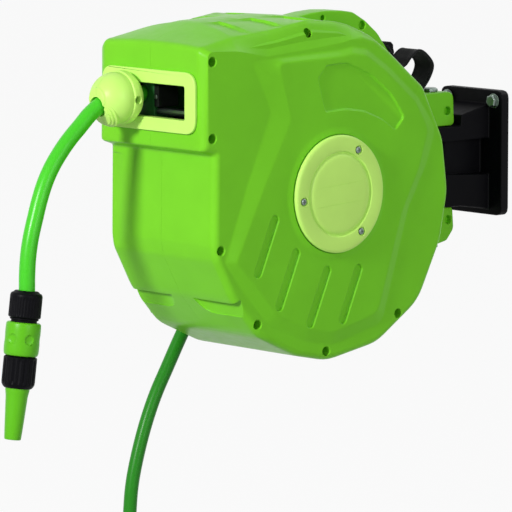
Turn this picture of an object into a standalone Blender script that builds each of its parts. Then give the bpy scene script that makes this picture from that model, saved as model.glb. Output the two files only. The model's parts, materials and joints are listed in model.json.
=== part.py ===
"""Wall-mounted retractable garden hose reel.

Two moulded green half shells close round a spring-driven drum on a fixed axle. A ring gear on the drum
turns a cross-threaded screw, whose carriage lays the hose across the drum and carries the hose out through
a window in the front. A lead-in hose feeds the hub from the left. Two ears on the seam hang the case on the
hinge pin of a black wall bracket.

Frame: the origin is the centre of the bracket's back face, +Y points into the wall, +Z is up and +X is the
side with the hub cap. Sizes are in millimetres. Side outlines (y, z) are measured from the hub axis.
"""

import math

import bmesh
import bpy
import numpy as np
from mathutils import Matrix, Vector

MM = 0.001
CLEAR = 0.3
# Corners that a cut leaves closer than this are one corner.
WELD = 0.01

# Drum axis, below and in front of the bracket.
HUB_Y = -307.0
HUB_Z = -20.0

# Across the case from its middle: half the drum, a flange, the spring cassette, its cover and the axle's boss.
DRUM_HALF = 57.0
FLANGE_THICK = 4.0
CASSETTE_WIDE = 15.7
CASSETTE_ROOM = 11.3

# Half shells.
SIDE_X = DRUM_HALF + FLANGE_THICK + CASSETTE_WIDE + CASSETTE_ROOM
PAD_HEIGHT = 4.0
BOSS_HEIGHT = 1.0
WALL = 3.0
SEAM_GAP = 0.3
WEB_HALF = 15.0
WELL_R = 5.2
WELL_DEPTH = 9.0
WELL_BOSS_R = 8.0

# Window, bezel and the ball that stops at it.
WINDOW_HALF_X = 60.0
WINDOW_Z0 = 90.6
WINDOW_Z1 = 127.4
BEZEL_HALF_X = SIDE_X - 11.0
BEZEL_Z0 = 76.0
BEZEL_Z1 = 142.5
BEZEL_PROUD = 3.7
BEZEL_LIP = 2.5
FRONT_Y = -190.0
BALL_R = 29.3
BALL_Y = -213.5
BALL_Z = 110.3
# The hose leaves near the left end of its traverse.
GUIDE_X = 27.0 - DRUM_HALF

# Hub.
CAP_R = 65.0
CAP_THICK = 4.7
CAP_DISC_R = CAP_R - 20.0
CAP_SCREW_R = CAP_R - 11.0
AXLE_R = 12.0
AXLE_BOSS_R = 20.0

# Drum and winding.
CORE_R = 60.0
CORE_WALL = 3.5
FLANGE_R = 150.0
HOSE_D = 17.7
WIND_PITCH = 18.2
WIND_TURNS = 5
WIND_R = 114.0
# Wound hose lies slightly flattened, so the turns clear each other.
WIND_D = 17.2

# Gear train, ratchet and spring.
MODULE = 6.0
# Straight-flanked teeth: heights in modules, half widths in pitches.
ADDENDUM = 0.82
DEDENDUM = 1.08
TIP_SHARE = 0.12
ROOT_SHARE = 0.33
RING_TEETH = 44
PINION_TEETH = 12
GEAR_WIDE = 8.0
RATCHET_R = 60.0
RATCHET_TEETH = 24
RATCHET_WIDE = 5.0
RATCHET_PHASE = math.radians(59.0)
# The pawl's reach from its pin, and how far its tip stands off the teeth at rest.
PAWL_LONG = 24.0
PAWL_CLEAR = 1.0
CASSETTE_R = 62.0
ARBOR_R = 21.0
SPRING_TURNS = 5
SPRING_STRIP = 0.8

# Carriage.
SCREW_R = 7.0
ROD_R = 4.0
ROD_LOW = (-170.0, 95.0)
ROD_HIGH = (-168.0, 134.0)
CARRIAGE_Y = (-178.0, -132.0)
CARRIAGE_Z = (78.0, 140.0)
CARRIAGE_X = (GUIDE_X - 27.0, GUIDE_X + 22.0)
ROLLER_R = 6.0
ROLLER_HALF = 12.0

# Wall bracket.
PLATE_HALF_X = 50.0
PLATE_HALF_Z = 72.0
PLATE_THICK = 12.0
PIVOT_Y = -78.0
KNUCKLE_R = 17.0
PIN_R = 6.0
EAR_GAP = 1.0
BOLT_X = 38.0
BOLT_Z = 60.0
BOLT_R = 4.0
BOLT_FLATS = 13.0

# Ears, by their heights above the hub axis.
EAR_BACK_Y = 252.0
EAR_HIGH = (53.0, 92.0)
EAR_LOW = (-79.0, -41.0)

# Delivery end.
NUT_R = 17.5
NUT_LONG = 29.0
COLLAR_R = 19.0
COLLAR_LONG = 36.0
COLLAR_TRAVEL = 2.5
GRIP_R = 18.0
GRIP_LONG = 35.0
NOZZLE_R0 = 12.5
NOZZLE_R1 = 9.0
NOZZLE_LONG = 54.5
END_TOP = (-338.9, -89.0)
END_TIP = (-360.1, -247.8)

# Lead-in hose.
LEAD_D = 15.3
LEAD_X = -(SIDE_X + 29.0)
ELBOW_R = 10.5
COIL_R = 80.0
COIL_TURNS = 3
COIL_PITCH = 16.2
COIL_SIDES = 24

GREEN = ("green_case", (0.135, 0.520, 0.020), 0.38, 0.0)
LIME = ("lime_trim", (0.600, 0.850, 0.130), 0.36, 0.0)
BLACK = ("black_plastic", (0.012, 0.012, 0.014), 0.45, 0.0)
DARK = ("dark_green_inner", (0.015, 0.110, 0.020), 0.50, 0.0)
GREY = ("grey_plastic", (0.450, 0.470, 0.450), 0.45, 0.0)
HOSE = ("green_hose", (0.060, 0.520, 0.030), 0.22, 0.0)
ZINC = ("zinc_steel", (0.620, 0.640, 0.620), 0.30, 1.0)
STEEL = ("spring_steel", (0.300, 0.310, 0.330), 0.35, 1.0)
RUBBER = ("black_rubber", (0.015, 0.015, 0.015), 0.70, 0.0)
WEBBING = ("black_webbing", (0.014, 0.014, 0.016), 0.85, 0.0)

# Corners of the side outline at the seam, from the window block's foot round the bottom, the back and the
# chord below the handle: (y, z, radius, share of the edge rounding that the corner takes).
OUTLINE = [
    (-190.0, 54.0, 6.0, 1.0),
    (-175.0, 46.0, 9.0, 1.0),
    (-176.5, -43.0, 16.0, 1.0),
    (-165.5, -62.0, 20.0, 1.0),
    (-142.0, -105.5, 50.0, 1.0),
    (-107.0, -147.0, 50.0, 1.0),
    (-51.0, -171.0, 50.0, 1.0),
    (-4.0, -182.5, 40.0, 1.0),
    (77.0, -168.5, 60.0, 1.0),
    (131.0, -131.0, 60.0, 1.0),
    (162.0, -65.0, 60.0, 1.0),
    (176.0, -10.0, 60.0, 1.0),
    (168.0, 50.0, 50.0, 1.0),
    (137.0, 110.0, 14.0, 1.0),
    (85.0, 152.0, 30.0, 1.0),
    (53.0, 173.5, 30.0, 1.0),
]
# The top and the window block's brow fall away from the seam: corners at the seam, at the top edge of the
# side and on the side face.
TOP_EDGE_X = SIDE_X - 10.0
TOP_SEAM = [(28.0, 187.0), (8.0, 194.0), (-31.0, 195.5), (-87.0, 195.5), (-132.0, 194.5), (-190.0, 172.0)]
TOP_EDGE = [(28.0, 184.0), (10.0, 188.0), (-31.0, 193.5), (-87.0, 183.0), (-144.0, 176.0), (-190.0, 160.0)]
TOP_FACE = [(26.0, 168.0), (8.0, 163.0), (-40.0, 160.0), (-101.0, 158.5), (-141.0, 161.0), (-181.5, 156.0)]
TOP_RADII = [6.0, 8.0, 12.0, 14.0, 22.0, 8.0]

# Raised pad on each side: foot and top corners, and radii. Its front edge is a wide strip that fades out
# towards the brow.
PAD_FOOT = [
    (-161.0, -64.0, 4.0), (-133.0, 21.0, 30.0), (-99.0, 94.0, 14.0), (-112.0, 152.0, 6.0), (6.0, 157.0, 10.0),
    (26.0, 160.0, 8.0), (48.0, 157.0, 16.0), (80.0, 136.0, 16.0), (126.0, 99.0, 16.0), (154.0, 62.0, 20.0),
    (139.0, 22.0, 30.0), (112.0, -24.0, 30.0), (72.0, -150.0, 20.0), (-5.0, -168.0, 30.0), (-47.0, -159.0, 30.0),
    (-99.0, -136.0, 30.0), (-133.0, -99.0, 20.0),
]
PAD_TOP = [
    (-142.0, -64.0, 4.0), (-100.0, 17.0, 30.0), (-62.0, 87.0, 14.0), (-35.0, 148.0, 6.0), (6.0, 150.0, 10.0),
    (23.0, 152.0, 8.0), (44.0, 149.0, 16.0), (75.0, 129.0, 16.0), (119.0, 93.0, 16.0), (138.0, 62.0, 20.0),
    (124.0, 20.0, 30.0), (98.0, -28.0, 30.0), (62.0, -137.0, 20.0), (-5.0, -153.0, 30.0), (-43.0, -145.0, 30.0),
    (-91.0, -124.0, 30.0), (-119.0, -92.0, 20.0),
]
LOGO_RECESS = [
    (-28.0, 128.0, 6.0), (-15.0, 142.0, 6.0), (14.0, 143.5, 30.0), (50.0, 129.0, 40.0), (82.0, 105.0, 40.0),
    (102.0, 78.0, 7.0), (88.0, 64.0, 6.0), (69.0, 77.0, 40.0), (41.0, 88.0, 40.0), (14.0, 92.0, 30.0),
    (-17.0, 91.0, 4.0),
]
RECESS_DEEP = 2.0
SLOTS = [((-89, -17), (-118, -83)), ((-58, -56), (-87, -122)), ((-12, -79), (-41.5, -145)), ((35, -81), (7, -145))]
SLOT_WIDE = 8.0
SLOT_DEEP = 3.0

# Web on the seam: carry handle, spine and ears.
WEB = [
    (0.0, 172.0, 2.0), (12.0, 192.0, 4.0), (32.0, 196.0, 20.0), (55.0, 197.0, 20.0), (78.0, 194.0, 20.0),
    (95.0, 190.5, 20.0), (114.0, 180.0, 30.0), (133.0, 165.0, 30.0), (146.0, 148.5, 20.0), (192.0, 92.0, 8.0),
    (EAR_BACK_Y, EAR_HIGH[1], 10.0), (EAR_BACK_Y + 2, EAR_HIGH[0], 6.0), (205.0, EAR_HIGH[0], 6.0),
    (205.0, EAR_LOW[1], 6.0), (EAR_BACK_Y, EAR_LOW[1], 5.0), (EAR_BACK_Y + 2, -66.0, 10.0),
    (243.0, EAR_LOW[0], 8.0), (165.0, -95.0, 20.0), (130.0, -100.0, 10.0), (100.0, -60.0, 5.0),
    (100.0, 60.0, 5.0),
]
FINGER_GAP = [(54.0, 171.0, 2.0), (66.0, 173.5, 6.0), (92.0, 168.5, 14.0), (113.0, 157.0, 20.0),
              (131.0, 139.0, 8.0), (137.0, 118.0, 5.0), (131.0, 115.0, 3.0), (85.0, 152.3, 10.0)]
CASE_WELLS = [(-178.0, 154.5), (-178.0, 72.0), (-166.0, -50.0), (-113.0, -135.0), (-12.0, -174.0),
              (97.0, -142.0), (-36.0, 178.0)]
WEB_WELLS = [(109.0, 175.0, 5.0), (49.0, 186.0, 3.2), (243.0, 70.0, 5.0), (245.0, -55.0, 5.0)]

# Strap on the spine: centre line from its anchor to its back foot.
STRAP = [(148.5, 149.8), (170.0, 124.6), (177.0, 126.5), (186.0, 135.0), (199.0, 142.0), (213.0, 134.0),
         (220.0, 124.0), (216.0, 112.0), (203.0, 97.5), (193.5, 94.6)]
STRAP_THICK = 2.4
STRAP_HALF = 15.5

# Routes of the hoses, (y, z) from the hub axis.
MOUTH = (-237.0, 103.5)
MOUTH_WAY = (-0.855, -0.519)
DELIVERY = [(-251.5, 94.0), (-264.8, 82.2), (-279.6, 69.2), (-292.6, 55.4), (-304.2, 40.6),
            (-313.4, 24.8), (-321.2, 6.0), (-327.5, -13.4), (-333.2, -32.6), (-336.9, -51.9), (-338.6, -72.0),
            END_TOP]
LEAD = [(0.0, -88.0), (-2.0, -104.0), (-10.0, -122.0), (-25.0, -146.0), (-43.0, -171.0),
        (-67.0, -210.0), (-84.0, -238.5), (-99.0, -271.0), (-111.5, -307.0), (-119.0, -337.0), (-122.5, -368.5),
        (-124.0, -410.0), (-124.0, -455.0)]
COIL_ENTRY_Z = -500.0


def clear_scene():
    for obj in list(bpy.data.objects):
        bpy.data.objects.remove(obj, do_unlink=True)


def material(spec):
    """The named material, made once."""
    name, colour, rough, metal = spec
    found = bpy.data.materials.get(name)
    if found:
        return found
    made = bpy.data.materials.new(name)
    made.use_nodes = True
    shader = made.node_tree.nodes["Principled BSDF"]
    shader.inputs["Base Color"].default_value = (*colour, 1.0)
    shader.inputs["Roughness"].default_value = rough
    shader.inputs["Metallic"].default_value = metal
    made.diffuse_color = (*colour, 1.0)
    return made


def solid(name, points, faces, look, origin=(0.0, 0.0, 0.0)):
    """A closed mesh from points in millimetres, with its object's origin at the given point."""
    origin = np.array(origin, float)
    mesh = bpy.data.meshes.new(name)
    mesh.from_pydata([tuple((np.array(p, float) - origin) * MM) for p in points], [], faces)
    shape = bmesh.new()
    shape.from_mesh(mesh)
    bmesh.ops.recalc_face_normals(shape, faces=shape.faces)
    shape.to_mesh(mesh)
    shape.free()
    obj = bpy.data.objects.new(name, mesh)
    obj.location = Vector(origin * MM)
    mesh.materials.append(material(look))
    bpy.context.scene.collection.objects.link(obj)
    bpy.context.view_layer.update()
    return obj


def through_rings(name, rings, look, origin=(0.0, 0.0, 0.0), closed=False):
    """Skins matched rings of points; the ends are capped, or joined to each other when closed."""
    count = len(rings[0])
    points = [p for ring in rings for p in ring]
    faces = []
    for i in range(len(rings) if closed else len(rings) - 1):
        a, b = i * count, (i + 1) % len(rings) * count
        faces += [(a + j, a + (j + 1) % count, b + (j + 1) % count, b + j) for j in range(count)]
    if not closed:
        faces += [tuple(range(count)), tuple(reversed(range(len(points) - count, len(points))))]
    return solid(name, points, faces, look, origin)


def boolean(obj, tool, operation):
    """Applies an exact Boolean to the object and removes the tool."""
    step = obj.modifiers.new(operation.lower(), "BOOLEAN")
    step.operation = operation
    step.object = tool
    bpy.context.view_layer.update()
    mesh = bpy.data.meshes.new_from_object(obj.evaluated_get(bpy.context.evaluated_depsgraph_get()))
    obj.modifiers.clear()
    shape = bmesh.new()
    shape.from_mesh(mesh)
    bmesh.ops.remove_doubles(shape, verts=shape.verts, dist=WELD * MM)
    bmesh.ops.dissolve_degenerate(shape, edges=shape.edges, dist=WELD * MM)
    shape.to_mesh(mesh)
    shape.free()
    obj.data = mesh
    bpy.data.objects.remove(tool, do_unlink=True)
    return obj


def cut(obj, *tools):
    for tool in tools:
        boolean(obj, tool, "DIFFERENCE")
    return obj


def fuse(obj, *tools):
    for tool in tools:
        boolean(obj, tool, "UNION")
    return obj


def hub_point(x, y, z):
    """A point in the case's frame, from its distance to the hub axis."""
    return (x, y + HUB_Y, z + HUB_Z)


AXES = {"X": (1, 2, 0), "Y": (0, 2, 1), "Z": (0, 1, 2)}


def along(axis, a, b, s):
    """The point whose two cross coordinates are a and b and whose place along the axis is s."""
    i, j, k = AXES[axis]
    point = [0.0, 0.0, 0.0]
    point[i], point[j], point[k] = a, b, s
    return tuple(point)


def prism(name, outline, axis, start, end, look=GREEN, origin=(0.0, 0.0, 0.0), hub=False):
    """An outline swept along an axis; hub shifts a side outline to the hub axis."""
    shift = (HUB_Y, HUB_Z) if hub else (0.0, 0.0)
    rings = [[along(axis, a + shift[0], b + shift[1], s) for a, b in outline] for s in (start, end)]
    return through_rings(name, rings, look, origin)


def turned(name, profile, axis, centre, look=GREEN, sides=32, origin=(0.0, 0.0, 0.0), bore=False, turn=0.0):
    """A profile of (radius, place) points turned round an axis through the centre."""
    i, j, k = AXES[axis]
    rings = []
    for radius, s in profile:
        ring = []
        for n in range(sides):
            angle = 2 * math.pi * n / sides + turn
            ring.append(along(axis, centre[0] + radius * math.cos(angle), centre[1] + radius * math.sin(angle), s))
        rings.append(ring)
    return through_rings(name, rings, look, origin, closed=bore)


def rod(name, radius, axis, centre, start, end, look=GREEN, sides=16, hub=False, turn=0.0):
    if hub:
        centre = (centre[0] + HUB_Y, centre[1] + HUB_Z)
    return turned(name, [(radius, start), (radius, end)], axis, centre, look, sides, turn=turn)


def ring_solid(name, inner, outer, axis, centre, start, end, look, sides=32, origin=(0.0, 0.0, 0.0)):
    profile = [(outer, start), (outer, end), (inner, end), (inner, start)]
    return turned(name, profile, axis, centre, look, sides, origin, bore=True)


def box(name, x, y, z, look=GREEN, hub=False):
    if hub:
        y = (y[0] + HUB_Y, y[1] + HUB_Y)
        z = (z[0] + HUB_Z, z[1] + HUB_Z)
    return prism(name, [(x[0], y[0]), (x[1], y[0]), (x[1], y[1]), (x[0], y[1])], "Z", z[0], z[1], look)


def arc_steps(corners, step=34.0):
    """How many segments each corner's arc takes, from its turn."""
    steps = []
    for n, corner in enumerate(corners):
        before = np.array(corner[:2], float) - np.array(corners[n - 1][:2], float)
        after = np.array(corners[(n + 1) % len(corners)][:2], float) - np.array(corner[:2], float)
        turn = abs(math.degrees(math.atan2(before[0] * after[1] - before[1] * after[0], before @ after)))
        steps.append(max(1, math.ceil(turn / step)))
    return steps


def rounded(corners, steps=None):
    """The outline of a polygon of (a, b, radius) corners, each rounded as far as its edges allow."""
    steps = steps or arc_steps(corners)
    points = []
    for n, corner in enumerate(corners):
        here = np.array(corner[:2], float)
        back = np.array(corners[n - 1][:2], float) - here
        fore = np.array(corners[(n + 1) % len(corners)][:2], float) - here
        reach_back, reach_fore = np.linalg.norm(back), np.linalg.norm(fore)
        back, fore = back / reach_back, fore / reach_fore
        half = math.acos(max(-1.0, min(1.0, float(back @ fore)))) / 2
        tangent = min(corner[2] / math.tan(half), 0.48 * reach_back, 0.48 * reach_fore)
        start, end = here + back * tangent, here + fore * tangent
        for i in range(steps[n] + 1):
            t = i / steps[n]
            # A quadratic through the corner stays within the arc's own tangents.
            points.append(tuple((1 - t) ** 2 * start + 2 * t * (1 - t) * here + t * t * end))
    return points


def inset(corners, distance):
    """Corners moved in along their mitres; a corner's fourth number scales its share."""
    area = sum(
        a[0] * b[1] - b[0] * a[1] for a, b in zip(corners, corners[1:] + corners[:1])
    )
    side = 1.0 if area > 0 else -1.0
    moved = []
    for n, corner in enumerate(corners):
        here = np.array(corner[:2], float)
        back = here - np.array(corners[n - 1][:2], float)
        fore = np.array(corners[(n + 1) % len(corners)][:2], float) - here
        back, fore = back / np.linalg.norm(back), fore / np.linalg.norm(fore)
        normal = side * (np.array([-back[1], back[0]]) + np.array([-fore[1], fore[0]])) / 2
        mitre = normal / max(float(normal @ normal), 0.35)
        share = corner[3] if len(corner) > 3 else 1.0
        moved.append((*(here + mitre * distance * share), corner[2], share))
    return moved


def blend(a, b, t):
    return tuple(np.array(a) + (np.array(b) - np.array(a)) * t)


def section(x, edge, wall):
    """The case's corners at a distance from the seam: edge is the side's rounding, wall the shell's wall."""
    top = []
    for n, radius in enumerate(TOP_RADII):
        if x <= TOP_EDGE_X:
            place = blend(TOP_SEAM[n], TOP_EDGE[n], (x / TOP_EDGE_X) ** 2)
        else:
            place = blend(TOP_EDGE[n], TOP_FACE[n], (x - TOP_EDGE_X) / (SIDE_X - TOP_EDGE_X))
        top.append((*place, radius, 0.0))
    corners = inset(OUTLINE + top, edge)
    return [c[:3] for c in inset([c[:3] for c in corners], wall)] if wall else [c[:3] for c in corners]


# The shell stands square to the seam up to the rounding of the side's edge: (x, inset).
EDGES = [(0.0, 0.0), (45.0, 0.0), (TOP_EDGE_X, 0.0), (SIDE_X - 3.0, 2.8), (SIDE_X, 8.5)]


def case_body(name, side, wall, reach):
    """The case's outer form, or its hollow when wall is set, from the seam to the given reach."""
    steps = arc_steps([c[:2] for c in section(0.0, 0.0, 0.0)])
    rings = []
    first = -4.0 if wall else -2.0
    edges = EDGES[::2] if wall else EDGES
    for n, (x, edge) in enumerate(edges):
        ring = rounded(section(x, edge, wall), steps)
        place = first if n == 0 else x * reach / SIDE_X
        rings.append([hub_point(side * place, y, z) for y, z in ring])
    return through_rings(name, rings, GREEN)


def side_rod(side, radius, centre, start, end, sides=10):
    return rod("tool", radius, "X", centre, side * start, side * end, sides=sides, hub=True)


def half_shell(name, side):
    """One half of the case; side is 1 for the hub cap's side and -1 for the water inlet's."""
    inner_x = SIDE_X - WALL
    shell = case_body(name, side, 0.0, SIDE_X)
    web = prism("web", rounded(WEB), "X", side * -3.0, side * WEB_HALF, hub=True)
    cut(web, prism("gap", rounded(FINGER_GAP), "X", side * -5.0, side * (WEB_HALF + 1), hub=True))
    fuse(shell, web)
    steps = arc_steps(PAD_FOOT)
    pad = through_rings("pad", [
        [hub_point(side * (SIDE_X - 1.0), y, z) for y, z in rounded(PAD_FOOT, steps)],
        [hub_point(side * (SIDE_X + PAD_HEIGHT), y, z) for y, z in rounded(PAD_TOP, steps)],
    ], GREEN)
    fuse(shell, pad)
    boss_x = SIDE_X + PAD_HEIGHT + BOSS_HEIGHT
    rise = [(CAP_R + 11, side * (SIDE_X + 1)), (CAP_R + 10, side * (SIDE_X + PAD_HEIGHT)),
            (CAP_R + 5, side * boss_x)]
    fuse(shell, turned("boss", rise, "X", (HUB_Y, HUB_Z), sides=32))

    hollow = case_body("hollow", side, WALL, inner_x)
    for y, z in CASE_WELLS:
        start = -6.0 if (side > 0 or (y, z) != CASE_WELLS[1]) else SIDE_X - 7.0
        cut(hollow, side_rod(side, WELL_BOSS_R, (y, z), start, SIDE_X, 6))
    axle_start = DRUM_HALF + 11.0 if side < 0 else CASSETTE_WIDE + DRUM_HALF + FLANGE_THICK + 3.5
    cut(hollow, side_rod(side, AXLE_BOSS_R, (0, 0), axle_start, SIDE_X, 12))
    cut(hollow, side_rod(side, SCREW_R + 4, SCREW_AT, SCREW_SHOULDER + 0.7, SIDE_X, 10))
    if side > 0:
        for place in (ROD_LOW, ROD_HIGH):
            cut(hollow, side_rod(side, ROD_R + 4, place, ROD_BOSS_X, SIDE_X, 10))
    else:
        cut(hollow, box("rib", (RIB_X[0], RIB_X[1]), (FRONT_Y - 5, -159.0), (84.0, 146.0), hub=True))
        cut(hollow, side_rod(side, PAWL_PIN_R + 5, PAWL_PIN, RATCHET_X[0] + RATCHET_WIDE + 0.9, SIDE_X, 10))
        cut(hollow, box("step", (-(SIDE_X + 7.0), STRIP_X[1] + 6.0), (-180.0, STEP_Y + WALL),
                        (STRIP_Z[0] - 4.0, STRIP_Z[1] + 5.0), hub=True))
    cut(hollow, prism("bed", [(-175, -70), (-150, -70), (-134, -112), (-150, -125)], "X",
                      side * (POCKET_X[0] - 4), side * (POCKET_X[1] + 4), hub=True))
    cut(shell, hollow)
    across = sorted((side * -20.0, side * SEAM_GAP / 2))
    cut(shell, box("seam", across, (-300.0, 400.0), (-300.0, 300.0), hub=True))

    # Wells of the case screws, seam first where the boss reaches it.
    for y, z in CASE_WELLS:
        cut(shell, side_rod(side, WELL_R, (y, z), SIDE_X - WELL_DEPTH, SIDE_X + 20, 8))
    for y, z, radius in WEB_WELLS:
        cut(shell, side_rod(side, radius, (y, z), WEB_HALF - 7, WEB_HALF + 5, 8))
    face_x = SIDE_X + PAD_HEIGHT
    for (y0, z0), (y1, z1) in SLOTS:
        run = np.array([y1 - y0, z1 - z0], float)
        run /= np.linalg.norm(run)
        across = np.array([-run[1], run[0]]) * SLOT_WIDE / 2
        lead = run * SLOT_WIDE / 2
        a, b = np.array([y0, z0]) + lead, np.array([y1, z1]) - lead
        groove = []
        for centre, base in ((a, math.atan2(-run[1], -run[0])), (b, math.atan2(run[1], run[0]))):
            for n in range(4):
                angle = base - math.pi / 2 + math.pi * n / 3
                groove.append(tuple(centre + SLOT_WIDE / 2 * np.array([math.cos(angle), math.sin(angle)])))
        cut(shell, prism("slot", groove, "X", side * (face_x - SLOT_DEEP), side * (SIDE_X + 20), hub=True))
    cut(shell, prism("recess", rounded(LOGO_RECESS), "X", side * (face_x - RECESS_DEEP), side * (SIDE_X + 20),
                     hub=True))
    # Pockets low on the front: a sharp step at the top that runs out below.
    wedge = [(-151.2, -78.4), (-140.4, -109.2), (-156.0, -117.0), (-168.0, -87.0)]
    cut(shell, prism("pocket", wedge, "X", side * POCKET_X[0], side * POCKET_X[1], hub=True))

    lip = BEZEL_LIP + CLEAR
    cut(shell, box("window", (-WINDOW_HALF_X - lip, WINDOW_HALF_X + lip), (FRONT_Y - 10, FRONT_Y + 18),
                   (WINDOW_Z0 - lip, WINDOW_Z1 + lip), hub=True))
    cut(shell, rod("pin", PIN_R + CLEAR, "Z", (0.0, PIVOT_Y), HUB_Z - 100, HUB_Z + 110))
    fit = CLEAR
    cut(shell, side_rod(side, SCREW_R - 3 + fit, SCREW_AT, SIDE_X - 18.0, SCREW_END[1] + fit))
    if side > 0:
        cut(shell, side_rod(side, AXLE_R + fit, (0, 0), DRUM_HALF - 17.0, SIDE_X + fit, 24))
        for place in (ROD_LOW, ROD_HIGH):
            cut(shell, side_rod(side, ROD_R + fit, place, SIDE_X - 18.0, ROD_X[1] + fit))
        for y, z in CAP_SCREWS.values():
            cut(shell, side_rod(side, 1.8, (y, z), SIDE_X - 1.5, SIDE_X + 20, 10))
    else:
        cut(shell, side_rod(side, AXLE_R + fit, (0, 0), DRUM_HALF - 17.0, SIDE_X - 0.7, 24))
        cut(shell, side_rod(side, SPIGOT_R + fit, (0, 0), DRUM_HALF - 17.0, SIDE_X + 20, 16))
        for place in (ROD_LOW, ROD_HIGH):
            cut(shell, side_rod(side, ROD_R + fit, place, DRUM_HALF - 7.0, -ROD_X[0] + fit))
        cut(shell, side_rod(side, PAWL_PIN_R + fit, PAWL_PIN, DRUM_HALF, PAWL_PIN_END + fit))
        # The outer strip of the front is set back below the window block.
        beyond, ahead = -(SIDE_X + 7.0), FRONT_Y - 10.0
        strip = [(beyond, ahead), (beyond, STEP_Y), (STRIP_X[0], STEP_Y), (STRIP_X[1], STEP_Y - 6.0),
                 (STRIP_X[1], ahead)]
        strip = [(x, y + HUB_Y) for x, y in strip]
        cut(shell, prism("strip", strip, "Z", HUB_Z + STRIP_Z[0], HUB_Z + STRIP_Z[1]))
    return shell


def gear_outline(teeth, module, phase):
    """Spur teeth with straight flanks: tip, flanks and root of each tooth."""
    pitch_r = teeth * module / 2
    root_r, tip_r = pitch_r - DEDENDUM * module, pitch_r + ADDENDUM * module
    points = []
    for n in range(teeth):
        middle = phase + 2 * math.pi * n / teeth
        tooth = ((root_r, -ROOT_SHARE), (tip_r, -TIP_SHARE), (tip_r, TIP_SHARE), (root_r, ROOT_SHARE))
        for radius, share in tooth:
            angle = middle + share * 2 * math.pi / teeth
            points.append((radius * math.cos(angle), radius * math.sin(angle)))
    return points


def at_hub(outline):
    return [(y + HUB_Y, z + HUB_Z) for y, z in outline]


def curve(name, points, diameter, look, bevel=2, closed=False):
    """A hose: a poly spline through the points with a round bevel and filled caps."""
    data = bpy.data.curves.new(name, "CURVE")
    data.dimensions = "3D"
    data.bevel_depth = diameter / 2 * MM
    data.bevel_resolution = bevel
    data.use_fill_caps = True
    line = data.splines.new("POLY")
    line.points.add(len(points) - 1)
    for point, place in zip(line.points, points):
        point.co = (*(np.array(place, float) * MM), 1.0)
    data.materials.append(material(look))
    obj = bpy.data.objects.new(name, data)
    bpy.context.scene.collection.objects.link(obj)
    return obj


def smooth(points, step):
    """Points about a step apart on a centripetal curve through the given ones."""
    points = np.array(points, float)
    points = np.vstack([2 * points[0] - points[1], points, 2 * points[-1] - points[-2]])
    fine = []
    for n in range(1, len(points) - 2):
        p = points[n - 1:n + 3]
        knots = np.concatenate([[0], np.cumsum(np.linalg.norm(np.diff(p, axis=0), axis=1) ** 0.5)])
        for t in np.linspace(knots[1], knots[2], 24, endpoint=False):
            a = [p[i] + (p[i + 1] - p[i]) * (t - knots[i]) / (knots[i + 1] - knots[i]) for i in range(3)]
            b = [a[i] + (a[i + 1] - a[i]) * (t - knots[i]) / (knots[i + 2] - knots[i]) for i in range(2)]
            fine.append(b[0] + (b[1] - b[0]) * (t - knots[1]) / (knots[2] - knots[1]))
    fine = np.array(fine + [points[-2]])
    run = np.concatenate([[0], np.cumsum(np.linalg.norm(np.diff(fine, axis=0), axis=1))])
    places = np.linspace(0, run[-1], max(2, round(run[-1] / step)) + 1)
    return np.stack([np.interp(places, run, fine[:, i]) for i in range(3)], axis=1)


def length_of(points):
    return float(np.linalg.norm(np.diff(np.array(points), axis=0), axis=1).sum())


def sweep(name, points, radii, look, sides=20, origin=(0.0, 0.0, 0.0)):
    """A tube through points with a radius at each; repeat a point to step the radius there."""
    points = np.array(points, float)
    normal = None
    rings = []
    for n, place in enumerate(points):
        back = next((points[i] for i in range(n - 1, -1, -1) if np.linalg.norm(points[i] - place) > 1e-6), place)
        fore = next((points[i] for i in range(n + 1, len(points)) if np.linalg.norm(points[i] - place) > 1e-6), place)
        way = fore - back
        way /= np.linalg.norm(way)
        if normal is None:
            normal = np.cross(way, [1.0, 0.0, 0.0] if abs(way[0]) < 0.9 else [0.0, 1.0, 0.0])
        normal = normal - way * (normal @ way)
        normal /= np.linalg.norm(normal)
        other = np.cross(way, normal)
        rings.append([
            place + radii[n] * (math.cos(a) * normal + math.sin(a) * other)
            for a in (2 * math.pi * i / sides for i in range(sides))
        ])
    return through_rings(name, rings, look, origin)


# Places that follow from the sizes above.
SCREW_AT = (-143.0, 88.0)
SCREW_REACH = math.hypot(*SCREW_AT)
PINION_R = PINION_TEETH * MODULE / 2
RING_R = RING_TEETH * MODULE / 2
GEAR_X = -(DRUM_HALF + FLANGE_THICK + 8.8)
RATCHET_X = (DRUM_HALF + FLANGE_THICK + CLEAR, DRUM_HALF + FLANGE_THICK + CLEAR + RATCHET_WIDE)
RIB_X = (-(DRUM_HALF + 9.0), -(DRUM_HALF + 3.5))
ROD_X = (-(DRUM_HALF + 7.5), SIDE_X - 4.3)
ROD_BOSS_X = SIDE_X - 11.0
SCREW_END = (-(SIDE_X - 3.0), SIDE_X - 3.0)
SCREW_SHOULDER = SIDE_X - 10.5
STEP_Y = -172.5
STRIP_X = (-52.0, -44.0)
STRIP_Z = (-66.0, 47.0)
POCKET_X = (26.0, 66.0)
SPIGOT_R = 9.0
PAWL_PIN_R = 3.0
PAWL_PIN_END = SIDE_X - 2.0
PAWL_PIN = (60.0, 60.0)
CAP_SCREW_ANGLES = {"upper": 60.0, "front": 185.0, "lower": 306.0}
CAP_SCREWS = {name: (CAP_SCREW_R * math.cos(math.radians(turn)), CAP_SCREW_R * math.sin(math.radians(turn)))
              for name, turn in CAP_SCREW_ANGLES.items()}
HUB = (HUB_Y, HUB_Z)


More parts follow.
